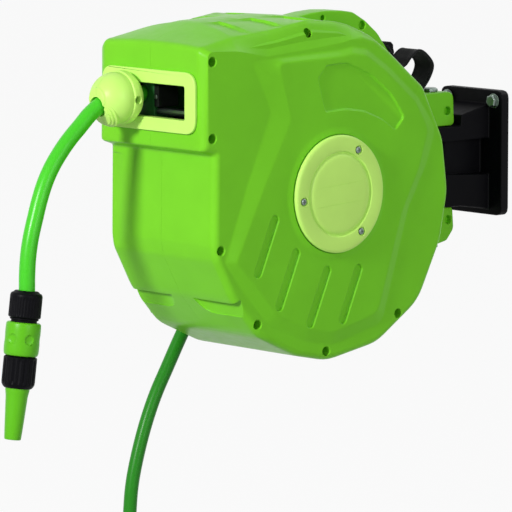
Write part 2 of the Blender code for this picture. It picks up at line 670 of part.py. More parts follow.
def wall_bracket():
    plate_outline = rounded([
        (-PLATE_HALF_X, -PLATE_HALF_Z, 9.0), (PLATE_HALF_X, -PLATE_HALF_Z, 9.0),
        (PLATE_HALF_X, PLATE_HALF_Z, 9.0), (-PLATE_HALF_X, PLATE_HALF_Z, 9.0),
    ])
    bracket = prism("wall_bracket", plate_outline, "Y", -PLATE_THICK, 0.0, BLACK)

    def arm(profile, wide, narrow):
        """A side profile (y, z) whose width narrows from the plate to the pivot."""
        slope = (wide - narrow) / (-PLATE_THICK - PIVOT_Y)
        rings = [
            [(side * (wide + (y + PLATE_THICK) * slope), y, z) for y, z in profile] for side in (-1, 1)
        ]
        return through_rings("arm", rings, BLACK)

    knuckle = (HUB_Z + EAR_LOW[1] + EAR_GAP, HUB_Z + EAR_HIGH[0] - EAR_GAP)
    root = -PLATE_THICK / 2
    behind = PIVOT_Y + 29.0
    fuse(bracket, arm([(root, 17.0), (PIVOT_Y, 14.5), (PIVOT_Y, knuckle[1]), (behind - 1, knuckle[1]),
                       (behind, 45.0), (root, 58.0)], 30.0, KNUCKLE_R - 0.6))
    fuse(bracket, arm([(root, -24.0), (PIVOT_Y, -24.0), (PIVOT_Y, knuckle[0]), (behind, knuckle[0]),
                       (root, -66.0)], 30.0, KNUCKLE_R - 0.6))
    fuse(bracket, arm([(root, 20.0), (PIVOT_Y, 20.0), (PIVOT_Y, -27.0), (root, -27.0)], 16.0, 8.0))
    fuse(bracket, turned("knuckle", [(KNUCKLE_R, knuckle[0]), (KNUCKLE_R, knuckle[1])], "Z", (0.0, PIVOT_Y),
                         BLACK, 32))
    cut(bracket, rod("bore", PIN_R + CLEAR, "Z", (0.0, PIVOT_Y), -90.0, 60.0))
    for x in (-BOLT_X, BOLT_X):
        cut(bracket, rod("hole", BOLT_R + CLEAR, "Y", (x, BOLT_Z), -20.0, 5.0, sides=20))
    return bracket


def wall_bolt(name, x):
    """Hex bolt with a washer, its shank ending at the wall's face."""
    face = -PLATE_THICK - CLEAR
    washer = turned(name, [(BOLT_R, -0.5), (BOLT_R, face), (8.5, face), (8.5, face - 1.6), (7.0, face - 1.6)],
                    "Y", (x, BOLT_Z), ZINC, 16)
    head = turned("head", [(BOLT_FLATS / math.sqrt(3), face - 1.0), (BOLT_FLATS / math.sqrt(3), face - 5.9),
                           (BOLT_FLATS / 2 - 0.4, face - 6.9)], "Y", (x, BOLT_Z), ZINC, 6, turn=0.3)
    return fuse(washer, head)


def pan_screw(name, axis, centre, face, way, head_r=3.9, shank_r=1.5, shank=9.0):
    """A pan-head screw whose head sits on a face and whose shank runs the other way."""
    profile = [(shank_r, face - way * shank), (shank_r, face), (head_r, face), (head_r, face + way * 0.9),
               (head_r * 0.75, face + way * 1.9)]
    return turned(name, profile, axis, centre, ZINC, 8)


def build_bracket():
    wall_bracket()
    wall_bolt("wall_bolt_left", -BOLT_X)
    wall_bolt("wall_bolt_right", BOLT_X)
    top, foot = HUB_Z + EAR_HIGH[1] + CLEAR, HUB_Z + EAR_LOW[0] - 9.0
    turned("swivel_pin", [(PIN_R - 1, foot), (PIN_R, foot + 1), (PIN_R, top), (9.0, top), (9.0, top + 3),
                          (7.0, top + 4.5)], "Z", (0.0, PIVOT_Y), ZINC, 16)
    ring_solid("pin_clip", PIN_R + 0.3, 10.0, "Z", (0.0, PIVOT_Y), foot + 1.5, foot + 3.5, STEEL, 16)


def build_case():
    half_shell("right_shell", 1)
    half_shell("left_shell", -1)

    face = FRONT_Y + HUB_Y
    bezel_outline = rounded([
        (-BEZEL_HALF_X, BEZEL_Z0 + HUB_Z, 17.0), (BEZEL_HALF_X, BEZEL_Z0 + HUB_Z, 17.0),
        (BEZEL_HALF_X, BEZEL_Z1 + HUB_Z, 17.0), (-BEZEL_HALF_X, BEZEL_Z1 + HUB_Z, 17.0)])
    bezel = prism("window_bezel", bezel_outline, "Y", face - CLEAR - BEZEL_PROUD, face - CLEAR, LIME)
    lip = BEZEL_LIP
    fuse(bezel, box("lip", (-WINDOW_HALF_X - lip, WINDOW_HALF_X + lip), (FRONT_Y - 2, FRONT_Y + 7),
                    (WINDOW_Z0 - lip, WINDOW_Z1 + lip), LIME, hub=True))
    opening = rounded([
        (-WINDOW_HALF_X, WINDOW_Z0 + HUB_Z, 2.0), (WINDOW_HALF_X, WINDOW_Z0 + HUB_Z, 2.0),
        (WINDOW_HALF_X, WINDOW_Z1 + HUB_Z, 2.0), (-WINDOW_HALF_X, WINDOW_Z1 + HUB_Z, 2.0)])
    cut(bezel, prism("opening", opening, "Y", face - 20, face + 20))

    seat = SIDE_X + PAD_HEIGHT + BOSS_HEIGHT + CLEAR
    top = seat + CAP_THICK
    cap = turned("hub_cap", [
        (CAP_R - 0.6, seat), (CAP_R, seat + 1.0), (CAP_R, top - 2.0), (CAP_R - 1.6, top - 0.6), (CAP_R - 4, top),
        (CAP_DISC_R + 3, top), (CAP_DISC_R + 1.5, top - 1.4), (CAP_DISC_R, top - 1.4), (CAP_DISC_R - 2.5, top),
        (CAP_DISC_R - 9, top + 0.3)], "X", HUB, LIME, 32)
    for which, (y, z) in CAP_SCREWS.items():
        place = (y + HUB_Y, z + HUB_Z)
        cut(cap, rod("seat", 5.0, "X", place, top - 2.0, top + 5, sides=12))
        cut(cap, rod("hole", 1.8, "X", place, seat - 5, top + 5, sides=10))
        pan_screw(f"hub_cap_screw_{which}", "X", place, top - 2.0 + CLEAR, 1)

    turned("axle", [(AXLE_R - 1, -(SIDE_X - 3.9)), (AXLE_R, -(SIDE_X - 4.9)), (AXLE_R, SIDE_X - 1),
                    (AXLE_R - 1, SIDE_X)], "X", HUB, GREY, 20)
    ring_solid("inlet_seal", SPIGOT_R + CLEAR, AXLE_R, "X", HUB, -(SIDE_X - 3.6), -(SIDE_X - 1.0), RUBBER, 16)
    cover = -(SIDE_X + PAD_HEIGHT + BOSS_HEIGHT + CLEAR)
    turned("inlet_cover", [(SPIGOT_R + 0.6, cover), (CAP_DISC_R, cover), (CAP_DISC_R, cover - 2.0),
                           (CAP_DISC_R - 2, cover - 3.0), (SPIGOT_R + 0.6, cover - 3.0)],
           "X", HUB, LIME, 24, bore=True)

    bend = [hub_point(-(SIDE_X - 3.6), 0, 0), hub_point(cover - 3.3, 0, 0), hub_point(cover - 3.3, 0, 0)]
    radii = [SPIGOT_R, SPIGOT_R, ELBOW_R]
    turn_r = 14.0
    for n in range(7):
        angle = math.pi / 2 * n / 6
        bend.append(hub_point(LEAD_X + turn_r * (1 - math.sin(angle)), 0, -turn_r * (1 - math.cos(angle))))
        radii.append(ELBOW_R)
    for z, radius in ((-34.0, ELBOW_R), (-34.0, ELBOW_R + 2.5), (-45.3, ELBOW_R + 2.5)):
        bend.append(hub_point(LEAD_X, 0, z))
        radii.append(radius)
    sweep("inlet_elbow", bend, radii, BLACK, 16)
    ring_solid("spring_arbor", AXLE_R + CLEAR, ARBOR_R, "X", HUB, DRUM_HALF + FLANGE_THICK + 3.0,
               DRUM_HALF + FLANGE_THICK + CASSETTE_WIDE - 0.6, GREY, 20)

    for name, (y, z) in (("guide_rod_lower", ROD_LOW), ("guide_rod_upper", ROD_HIGH)):
        rod(name, ROD_R, "X", (y + HUB_Y, z + HUB_Z), ROD_X[0], ROD_X[1], ZINC, 16)
    rod("pawl_pin", PAWL_PIN_R, "X", (PAWL_PIN[0] + HUB_Y, PAWL_PIN[1] + HUB_Z), -PAWL_PIN_END,
        -(RATCHET_X[0] + 0.4), ZINC, 16)


def build_strap():
    path = smooth([(0.0, y, z) for y, z in STRAP], 7.0)
    outer, inner = [], []
    for n, place in enumerate(path):
        way = path[min(n + 1, len(path) - 1)] - path[max(n - 1, 0)]
        way /= np.linalg.norm(way)
        across = np.array([0.0, -way[2], way[1]]) * STRAP_THICK / 2
        outer.append((place + across)[1:])
        inner.append((place - across)[1:])
    outline = at_hub(outer + inner[::-1])
    prism("strap_loop", outline, "X", -STRAP_HALF, STRAP_HALF, WEBBING)
    # A saddle clamps the front end on the handle's foot.
    along_slope = np.array([STRAP[1][0] - STRAP[0][0], STRAP[1][1] - STRAP[0][1]])
    along_slope /= np.linalg.norm(along_slope)
    out = np.array([-along_slope[1], along_slope[0]])
    base = np.array(STRAP[0]) + out * (STRAP_THICK / 2 + CLEAR)
    shape = [(1.0, 0.0), (17.0, 0.0), (16.0, 4.0), (11.0, 6.0), (8.0, 8.5), (3.0, 8.0), (0.0, 4.0)]
    saddle = [tuple(base + along_slope * s + out * t) for s, t in shape]
    prism("strap_anchor", at_hub(saddle), "X", -11.0, 11.0, BLACK)


def build_drum():
    ring_solid("drum_core", CORE_R - CORE_WALL, CORE_R, "X", HUB, -DRUM_HALF + CLEAR, DRUM_HALF - CLEAR, GREY, 24)
    bush_r = AXLE_R + 4.0
    for name, side in (("left", -1), ("right", 1)):
        inner, outer = side * DRUM_HALF, side * (DRUM_HALF + FLANGE_THICK)
        turned(f"drum_flange_{name}", [
            (bush_r + CLEAR, inner), (FLANGE_R, inner), (FLANGE_R, outer), (bush_r + CLEAR, outer)],
            "X", HUB, GREY, 32, bore=True)
        turned(f"bush_{name}", [
            (AXLE_R + CLEAR, side * (DRUM_HALF - 8)), (bush_r + 4, side * (DRUM_HALF - 8)),
            (bush_r + 4, inner - side * CLEAR), (bush_r, inner - side * CLEAR), (bush_r, outer),
            (AXLE_R + CLEAR, outer)], "X", HUB, BLACK, 16, bore=True)

    # Left: ratchet wheel inside the skirt of the ring gear.
    ratchet = []
    for n in range(RATCHET_TEETH):
        tip = RATCHET_PHASE + 2 * math.pi * n / RATCHET_TEETH
        pitch = 2 * math.pi / RATCHET_TEETH
        ratchet.append((RATCHET_R * math.cos(tip), RATCHET_R * math.sin(tip)))
        for radius, share in ((RATCHET_R, 0.12), (RATCHET_R - 6, 0.2), (RATCHET_R - 5, 0.6)):
            ratchet.append((radius * math.cos(tip + share * pitch), radius * math.sin(tip + share * pitch)))
    wheel = prism("ratchet_wheel", at_hub(ratchet), "X", -RATCHET_X[0], -RATCHET_X[1], ZINC)
    cut(wheel, rod("bore", RATCHET_R - 20, "X", HUB, -100, -50, sides=16))

    ring = prism("drum_gear", at_hub(gear_outline(RING_TEETH, MODULE, RING_PHASE)), "X", GEAR_X,
                 GEAR_X - GEAR_WIDE, BLACK)
    skirt_r = RING_R - 8.0
    fuse(ring, rod("skirt", skirt_r, "X", HUB, -(DRUM_HALF + FLANGE_THICK + CLEAR), GEAR_X - GEAR_WIDE, sides=24))
    cut(ring, rod("bore", skirt_r - 6, "X", HUB, -100, -50, sides=24))

    # Right: the mainspring in its cassette.
    base = DRUM_HALF + FLANGE_THICK + CLEAR
    rim = base + CASSETTE_WIDE
    turned("spring_cassette", [
        (ARBOR_R + CLEAR, base), (CASSETTE_R, base), (CASSETTE_R, rim), (CASSETTE_R - 3.5, rim),
        (CASSETTE_R - 3.5, base + 2), (ARBOR_R + CLEAR, base + 2)], "X", HUB, BLACK, 24, bore=True)
    ring_solid("spring_cover", ARBOR_R + CLEAR, CASSETTE_R, "X", HUB, rim + CLEAR, rim + CLEAR + 2.0, GREY, 24)
    strip, inner_r, outer_r = [], ARBOR_R + 1.0, CASSETTE_R - 4.6
    count = SPRING_TURNS * 12
    for sign in (1, -1):
        edge = []
        for n in range(count + 1):
            angle = 2 * math.pi * n / 12
            radius = inner_r + (outer_r - inner_r) * n / count + sign * SPRING_STRIP / 2
            edge.append((radius * math.cos(angle), radius * math.sin(angle)))
        strip += edge if sign > 0 else edge[::-1]
    prism("mainspring", at_hub(strip), "X", base + 2.6, rim - 0.6, STEEL)

    # Winding: an inner mass and one laid outer layer.
    chord = WIND_R * math.cos(math.pi / COIL_SIDES)
    ring_solid("wound_hose_core", CORE_R + CLEAR, chord - WIND_D / 2 - CLEAR, "X", HUB, -DRUM_HALF + CLEAR,
               DRUM_HALF - CLEAR, HOSE, 24)
    points = []
    for n in range(WIND_TURNS * COIL_SIDES + 1):
        turn = n / COIL_SIDES
        angle = math.radians(100.0) + 2 * math.pi * turn
        x = WIND_PITCH * (turn - WIND_TURNS / 2)
        points.append(hub_point(x, WIND_R * math.cos(angle), WIND_R * math.sin(angle)))
    curve("wound_hose_layer", points, WIND_D, HOSE, bevel=1)
    print("winding least gap mm", round(least_gap(points, WIND_D), 2))


def least_gap(points, diameter):
    """The least clear distance of a coil to itself, leaving out what is under a half turn away."""
    points = np.array(points)
    away = COIL_SIDES // 2
    least = 1e9
    for n in range(len(points) - away):
        least = min(least, float(np.linalg.norm(points[n + away:] - points[n], axis=1).min()))
    return least - diameter


def build_guide():
    y0, y1 = CARRIAGE_Y
    z0, z1 = CARRIAGE_Z
    mouth = np.array([0.0, *MOUTH])
    way = np.array([0.0, *MOUTH_WAY])
    # The hose leaves the winding at its top and runs on through the rollers, the window and the ball.
    lift_r = WIND_R + (WIND_D + HOSE_D) / 2 + 1.1
    lifted = [[0.0, radius * math.cos(math.radians(turn)), radius * math.sin(math.radians(turn))]
              for radius, turn in ((lift_r, 96.8), (lift_r + 24.9, 129.4))]
    route = lifted + [[0.0, -180.0, 112.6], [0.0, -204.0, 111.5], [0.0, -218.0, 110.6], mouth - way * 6.0]
    route = [hub_point(GUIDE_X, p[1], p[2]) for p in route]
    path = np.vstack([smooth(route, 16.0), [hub_point(GUIDE_X, mouth[1], mouth[2])]])

    carriage = box("guide_carriage", CARRIAGE_X, (y0, y1), (z0, z1), DARK, hub=True)
    edge = 5.0
    corner = [(y1 + 1, z1 + 1), (y1 - 16, z1 + 1), (y1 + 1, z1 - 20)]
    cut(carriage, prism("bevel", at_hub(corner), "X", CARRIAGE_X[0] - edge, CARRIAGE_X[1] + edge))
    # The lower front edge is cut back at 45 degrees to pass the boss of the case screw below the window.
    passing = sum(CASE_WELLS[1]) + (WELL_BOSS_R + 3 * CLEAR) * math.sqrt(2)
    foot = [(y0 - 1, z0 - 1), (passing - z0 + 1, z0 - 1), (y0 - 1, passing - y0 + 1)]
    cut(carriage, prism("foot", at_hub(foot), "X", CARRIAGE_X[0] - edge, CARRIAGE_X[1] + edge))
    aim = path[(path[:, 1] < y1 + HUB_Y + 25) & (path[:, 1] > y0 + HUB_Y - 25)][[0, -1]]
    cut(carriage, sweep("hole", aim, [HOSE_D / 2 + 1.7] * 2, DARK, 16))
    for centre, radius in ((SCREW_AT, SCREW_R), (ROD_LOW, ROD_R), (ROD_HIGH, ROD_R)):
        cut(carriage, rod("bore", radius + CLEAR, "X", centre, -90, 90, hub=True))
    roller_y, roller_z = -165.0, 113.9
    journal_r, journal_long = 2.0, 2.5
    for name, side in (("guide_roller_left", -1), ("guide_roller_right", 1)):
        x = GUIDE_X + side * (HOSE_D / 2 + ROLLER_R + 0.4)
        at = (x, roller_y + HUB_Y)
        foot, head = roller_z + HUB_Z - ROLLER_HALF, roller_z + HUB_Z + ROLLER_HALF
        cut(carriage, rod("pocket", ROLLER_R + 1.0, "Z", at, foot - 0.5, head + 0.5, sides=16))
        cut(carriage, rod("journal", journal_r + CLEAR, "Z", at, foot - journal_long - CLEAR,
                          head + journal_long + CLEAR, sides=12))
        turned(name, [(journal_r, foot - journal_long), (journal_r, foot), (ROLLER_R, foot), (ROLLER_R, head),
                      (journal_r, head), (journal_r, head + journal_long)], "Z", at, GREY, 16,
               origin=(x, at[1], roller_z + HUB_Z))

    bar_x = (CARRIAGE_X[1] + CLEAR, CARRIAGE_X[1] + 7.5)
    bar = box("carriage_bracket", bar_x, (y0, y0 + 28), (ROD_LOW[1] + ROD_R + 1, 123.0), GREY, hub=True)
    screw_at = (sum(bar_x) / 2, 111.0 + HUB_Z)
    cut(bar, rod("pilot", 1.4, "Y", screw_at, y0 + HUB_Y - 5, y0 + HUB_Y + 12, sides=12))
    pan_screw("carriage_screw", "Y", screw_at, y0 + HUB_Y - CLEAR, -1, 2.8, 1.1, 9.0)
    curve("hose_run", path, HOSE_D, HOSE)

    # The stopper ball clamps the hose; its back flange stops on the bezel.
    face = FRONT_Y - CLEAR - BEZEL_PROUD - CLEAR - BALL_Y
    profile = [(face, 22.5), (face - 0.6, 24.5), (face - 4.0, 24.5), (face - 4.6, 23.4), (face - 5.6, 23.6),
               (face - 6.2, BALL_R - 1.5), (face - 8.0, BALL_R), (face - 15.0, BALL_R),
               (face - 16.0, BALL_R - 1.0)]
    for n in range(1, 6):
        angle = math.radians(4.0 + (62.0 - 4.0) * n / 5)
        profile.append((-BALL_R * math.sin(angle), (BALL_R - 0.8) * math.cos(angle)))
    profile += [(-27.2, 12.6), (-28.2, 12.0)]
    for name, side in (("stopper_left", -1), ("stopper_right", 1)):
        half = turned(name, [(r, BALL_Y + HUB_Y + s) for s, r in profile], "Y", (GUIDE_X, BALL_Z + HUB_Z),
                      LIME, 24)
        other = sorted((GUIDE_X - side * 50, GUIDE_X + side * CLEAR / 2))
        cut(half, box("half", other, (BALL_Y - 60, BALL_Y + 60), (BALL_Z - 60, BALL_Z + 60), hub=True))
        long = [path[-1] + way * 14.0]
        channel = np.vstack([path[path[:, 1] < FRONT_Y + HUB_Y + 12], long])
        cut(half, sweep("channel", channel, [HOSE_D / 2 + CLEAR] * len(channel), LIME, 16))
        if side > 0:
            at = (BALL_Y + 7.5 + HUB_Y, BALL_Z - 1.0 + HUB_Z)
            cut(half, rod("well", 4.0, "X", at, GUIDE_X + 17, GUIDE_X + 40, sides=16))
            cut(half, rod("pilot", 1.6, "X", at, GUIDE_X - 5, GUIDE_X + 40, sides=12))
            pan_screw("stopper_screw", "X", at, GUIDE_X + 17 + CLEAR, 1, 3.2, 1.3, 7.0)


def end_place(s):
    """The point s millimetres down the delivery end's axis."""
    top, tip = np.array(END_TOP), np.array(END_TIP)
    way = (tip - top) / np.linalg.norm(tip - top)
    y, z = top + way * s
    return hub_point(GUIDE_X, y, z)


def end_piece(name, profile, look, sides=18, origin=0.0):
    """A piece turned round the delivery end's axis, from (place, radius) points."""
    return sweep(name, [end_place(s) for s, r in profile], [r for s, r in profile], look, sides, end_place(origin))


def bored(name, profile, look, radius, start, end, sides=18, origin=0.0):
    piece = end_piece(name, profile, look, sides, origin)
    return cut(piece, end_piece("bore", [(start, radius), (end, radius)], look, sides))


def build_delivery():
    mouth, way = np.array(MOUTH), np.array(MOUTH_WAY)
    start = [hub_point(GUIDE_X, *(mouth + way * s)) for s in (CLEAR, 8.0)]
    path = smooth([start[1]] + [hub_point(GUIDE_X, y, z) for y, z in DELIVERY], 17.0)
    # The hose runs on into the nut, down to the connector's stop.
    path = np.vstack([start[:1], path, [end_place(20.0)]])
    curve("delivery_hose", path, HOSE_D, HOSE)
    print("delivery hose mm", round(length_of(path), 1))
    hose_r = HOSE_D / 2 + CLEAR
    nut_end = NUT_LONG
    bored("hose_nut", [(0.0, 13.0), (6.0, 15.2), (6.0, NUT_R), (nut_end - 1, NUT_R), (nut_end, NUT_R - 1)],
          BLACK, hose_r, -5.0, nut_end + 5)
    # Connector body: a neck in the nut, a neck ring below it, then a barrel that the collar rides on.
    body_top = nut_end + CLEAR
    collar_top = body_top + 2.0 + COLLAR_TRAVEL
    collar_end = collar_top + COLLAR_LONG
    bored("connector_body", [
        (21.0, hose_r - 0.6), (body_top, hose_r - 0.6), (body_top, NUT_R - 2.0), (body_top + 2.0, NUT_R - 2.0),
        (body_top + 2.0, 14.0), (collar_end + 1.0, 14.0), (collar_end + 1.0, 12.0), (collar_end + 9.0, 12.0)],
        BLACK, 7.0, 10.0, collar_end + 20.0)
    ring_at = collar_end + 4.0
    seal = end_piece("connector_seal", [(ring_at, 14.2), (ring_at + 3.0, 14.2)], RUBBER)
    cut(seal, end_piece("bore", [(ring_at - 5, 12.3), (ring_at + 8, 12.3)], RUBBER, 20))
    release = bored("release_collar", [
        (collar_top, COLLAR_R - 1.6), (collar_top + 1.2, COLLAR_R - 0.4), (collar_top + 8.0, COLLAR_R),
        (collar_end - 5.0, COLLAR_R), (collar_end - 1.0, COLLAR_R - 0.8), (collar_end, COLLAR_R - 2.0)],
        GREEN, 14.0 + CLEAR, collar_top - 5, collar_end + 5, origin=collar_top)
    dimple_ring(release, collar_top + COLLAR_LONG / 2)
    grip_top = collar_end + 0.6
    grip_end = grip_top + GRIP_LONG
    bored("nozzle_grip", [
        (grip_top, GRIP_R - 1.5), (grip_top + 1.5, GRIP_R), (grip_end - 5.0, GRIP_R), (grip_end - 1.0, GRIP_R - 2.6),
        (grip_end, GRIP_R - 4.5)], BLACK, 14.2 + CLEAR, grip_top - 5, grip_end + 10, origin=grip_top)
    # The barrel's tail turns inside the grip.
    barrel_top = grip_end + 0.5
    barrel_end = barrel_top + NOZZLE_LONG
    bored("nozzle_barrel", [
        (collar_end + 12.0, 11.0), (grip_end - 12.0, 11.0), (grip_end - 12.0, 14.2), (barrel_top, 14.2),
        (barrel_top, NOZZLE_R0 + 0.5), (barrel_top + 4.0, NOZZLE_R0), (barrel_top + 20.0, NOZZLE_R0 - 1.2),
        (barrel_end - 3.0, NOZZLE_R1 + 0.2), (barrel_end, NOZZLE_R1 - 0.6)],
        GREEN, 5.0, collar_end, barrel_end + 10, origin=barrel_top)


def dimple_ring(collar, s):
    """Six round thumb dimples round the collar."""
    centre = np.array(end_place(s))
    way = np.array(end_place(s + 1.0)) - centre
    side = np.array([1.0, 0.0, 0.0])
    other = np.cross(way, side)
    for n in range(6):
        angle = math.pi * (n + 0.25) / 3
        out = math.cos(angle) * side + math.sin(angle) * other
        points = [centre + out * (COLLAR_R - 1.4), centre + out * (COLLAR_R + 4)]
        cut(collar, sweep("dimple", points, [5.4, 6.6], GREEN, 10))


def coil_points():
    """Coil of the lead-in hose: turns side by side about X, the last half turn easing away to the connector."""
    centre_y = LEAD[-1][0] + COIL_R
    points = []
    count = COIL_TURNS * COIL_SIDES
    for n in range(count + 1):
        turn = n / COIL_SIDES
        angle = math.pi + 2 * math.pi * turn
        ease = max(0.0, turn - (COIL_TURNS - 0.5)) / 0.5
        x = LEAD_X + COIL_PITCH * turn + 14.0 * ease * ease
        points.append(hub_point(x, centre_y + COIL_R * math.cos(angle), COIL_ENTRY_Z + COIL_R * math.sin(angle)))
    return points


def build_lead_in():
    # The free run down from the elbow, square to the elbow's face at its start.
    drop = [hub_point(LEAD_X, y, z) for y, z in LEAD]
    top = hub_point(LEAD_X, 0.0, -45.6)
    coil = coil_points()
    entry = np.array(coil[0]) + [0.0, 0.0, LEAD_D]
    run = smooth(drop, 30.0)
    run = np.vstack([[top], run, [entry + [0.0, 0.0, CLEAR]]])
    curve("lead_in_hose", run, LEAD_D, HOSE)
    tail = [tuple(np.array(coil[-1]) + np.array([x, 0.0, z])) for x, z in ((1.2, -10.0), (1.2, -LEAD_D * 1.6))]
    coil = [tuple(entry)] + coil + tail
    curve("lead_in_coil", coil, LEAD_D, HOSE, bevel=1)
    print("lead-in coil least gap mm", round(least_gap(coil[1:-2], LEAD_D), 2))
    print("lead-in hose mm", round(length_of(run), 1), "coil mm", round(length_of(coil), 1))

    at = (top[0], top[1])
    bore = LEAD_D / 2 + 2 * CLEAR
    turned("strain_relief", [
        (bore, top[2]), (ELBOW_R + 1.5, top[2]), (ELBOW_R + 0.5, top[2] - 5.0), (LEAD_D / 2 + 1.6, top[2] - 36.0),
        (bore, top[2] - 36.0)], "Z", at, BLACK, 18, bore=True)

    # Tie round the turns at the coil's back.
    half_turns = [0.5 + n for n in range(COIL_TURNS)]
    xs = [LEAD_X + COIL_PITCH * t for t in half_turns]
    middle_y = LEAD[-1][0] + 2 * COIL_R
    reach = LEAD_D / 2 + 0.7
    inner = (xs[0] - reach, xs[-1] + reach, middle_y - reach - 0.2, middle_y + reach)
    thick = 2.4

    def loop(grow):
        x0, x1, y0, y1 = inner[0] - grow, inner[1] + grow, inner[2] - grow, inner[3] + grow
        radius = 5.0 + grow
        return [(x, y + HUB_Y) for x, y in rounded([(x0, y0, radius), (x1, y0, radius), (x1, y1, radius),
                                                    (x0, y1, radius)])]

    tie = prism("coil_tie", loop(thick), "Z", COIL_ENTRY_Z + HUB_Z - 4, COIL_ENTRY_Z + HUB_Z + 4, BLACK)
    cut(tie, prism("hole", loop(0.0), "Z", COIL_ENTRY_Z + HUB_Z - 9, COIL_ENTRY_Z + HUB_Z + 9, BLACK))

    end = np.array(tail[-1]) - [0.0, 0.0, CLEAR]
    at = (end[0], end[1])
    turned("lead_in_connector", [
        (9.2, end[2]), (12.5, end[2] - 2), (12.5, end[2] - 16), (10.0, end[2] - 16), (10.0, end[2] - 19),
        (14.5, end[2] - 19), (15.5, end[2] - 22), (15.5, end[2] - 39), (14.8, end[2] - 40), (9.0, end[2] - 40),
        (9.0, end[2] - 28), (4.0, end[2] - 28), (4.0, end[2])], "Z", at, BLACK, 18, bore=True)


def build_train():
    y, z = SCREW_AT[0] + HUB_Y, SCREW_AT[1] + HUB_Z
    x0, x1 = SCREW_END
    turned("traverse_screw", [
        (SCREW_R - 3, x0), (SCREW_R - 3, -(-GEAR_X + GEAR_WIDE + 0.2)), (SCREW_R - 3, GEAR_X - GEAR_WIDE),
        (SCREW_R - 3, GEAR_X), (SCREW_R, GEAR_X + 0.6), (SCREW_R, SCREW_SHOULDER), (SCREW_R - 3, SCREW_SHOULDER),
        (SCREW_R - 3, x1)],
        "X", (y, z), GREY, 16, origin=(0, y, z))
    teeth = [(a + y, b + z) for a, b in gear_outline(PINION_TEETH, MODULE, PINION_PHASE)]
    pinion = prism("screw_gear", teeth, "X", GEAR_X, GEAR_X - GEAR_WIDE, BLACK, origin=(0, y, z))
    cut(pinion, rod("bore", SCREW_R - 3 + CLEAR, "X", (y, z), -100, -50, sides=20))

    # The pawl rests just clear of the ratchet's tips and swings in about its pin.
    pin = np.array(PAWL_PIN)
    out = pin / np.linalg.norm(pin)
    tangent = np.array([-out[1], out[0]])
    rest = math.sqrt((RATCHET_R + PAWL_CLEAR) ** 2 - PAWL_LONG ** 2)
    tip = out * rest + tangent * PAWL_LONG
    shape = [pin + tangent * -7, pin - out * 7 + tangent * 3, tip - tangent * 5 + out * 3.5, tip,
             tip + out * 5 + tangent * 1.5, pin + out * 7 + tangent * 4, pin + out * 7]
    at = (pin[0] + HUB_Y, pin[1] + HUB_Z)
    pawl = prism("pawl", at_hub([tuple(p) for p in shape]), "X", -(RATCHET_X[0] + 0.4), -(RATCHET_X[1] + 0.3),
                 ZINC, origin=(0, *at))
    cut(pawl, rod("bore", PAWL_PIN_R + CLEAR, "X", at, -90, -50, sides=16))


def mesh_phase():
    """Phases that put a ring gear tooth on the line to the screw and a pinion gap opposite it."""
    line = math.atan2(SCREW_AT[1], SCREW_AT[0])
    return line, line + math.pi + math.pi / PINION_TEETH


RING_PHASE, PINION_PHASE = mesh_phase()


def shade_all():
    for obj in bpy.context.scene.objects:
        if obj.type == "MESH":
            obj.data.shade_smooth()
            obj.data.set_sharp_from_angle(angle=math.radians(32.0))


def main():
    clear_scene()
    build_bracket()
    build_case()
    build_strap()
    build_drum()
    build_train()
    build_guide()
    build_delivery()
    build_lead_in()
    shade_all()


main()
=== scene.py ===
"""Looks of the wall-mounted retractable hose reel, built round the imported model.

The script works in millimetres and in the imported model's frame: +Y points into the wall, +Z is up and +X is
the side with the hub cap. Side outlines (y, z) are measured from the hub axis. Moulded shells, trims, hoses
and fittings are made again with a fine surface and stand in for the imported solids; the rest keeps its solids.
"""

import json
import math

import bmesh
import bpy
import numpy as np
from mathutils import Matrix, Vector


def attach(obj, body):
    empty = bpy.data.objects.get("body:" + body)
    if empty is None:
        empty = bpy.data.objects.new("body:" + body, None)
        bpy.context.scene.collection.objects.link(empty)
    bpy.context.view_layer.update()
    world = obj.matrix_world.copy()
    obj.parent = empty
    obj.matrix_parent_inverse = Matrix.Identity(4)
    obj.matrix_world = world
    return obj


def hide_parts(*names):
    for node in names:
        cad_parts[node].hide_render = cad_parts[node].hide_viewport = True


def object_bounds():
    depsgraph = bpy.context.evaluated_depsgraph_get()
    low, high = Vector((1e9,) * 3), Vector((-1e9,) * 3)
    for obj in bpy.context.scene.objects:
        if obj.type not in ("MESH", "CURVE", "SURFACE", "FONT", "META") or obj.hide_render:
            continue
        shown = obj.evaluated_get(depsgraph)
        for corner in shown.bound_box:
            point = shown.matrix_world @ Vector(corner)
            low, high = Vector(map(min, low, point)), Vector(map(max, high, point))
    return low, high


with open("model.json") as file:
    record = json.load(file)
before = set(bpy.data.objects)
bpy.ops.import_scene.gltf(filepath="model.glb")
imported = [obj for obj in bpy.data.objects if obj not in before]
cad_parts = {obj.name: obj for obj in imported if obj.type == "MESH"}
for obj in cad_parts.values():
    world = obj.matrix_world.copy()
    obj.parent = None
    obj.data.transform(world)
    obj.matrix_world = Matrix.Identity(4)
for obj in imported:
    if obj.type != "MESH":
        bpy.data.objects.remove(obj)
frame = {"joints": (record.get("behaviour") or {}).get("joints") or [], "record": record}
CAD_BOX = [list(corner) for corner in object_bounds()]

JOINTS = {joint["name"]: joint for joint in frame["joints"]}
BODY_OF = {node: body for body, nodes in frame["record"]["behaviour"]["bodies"].items() for node in nodes}
SLOT_OF = {part["node"]: part["material_slot"] for part in frame["record"]["subparts"]}

MM = 0.001

# Places that the joints give.
HUB_Y, HUB_Z = (JOINTS["drum_spin"]["pos_m"][n] / MM for n in (1, 2))
PIVOT_Y = JOINTS["case_swivel"]["pos_m"][1] / MM
CLEAR = 0.3

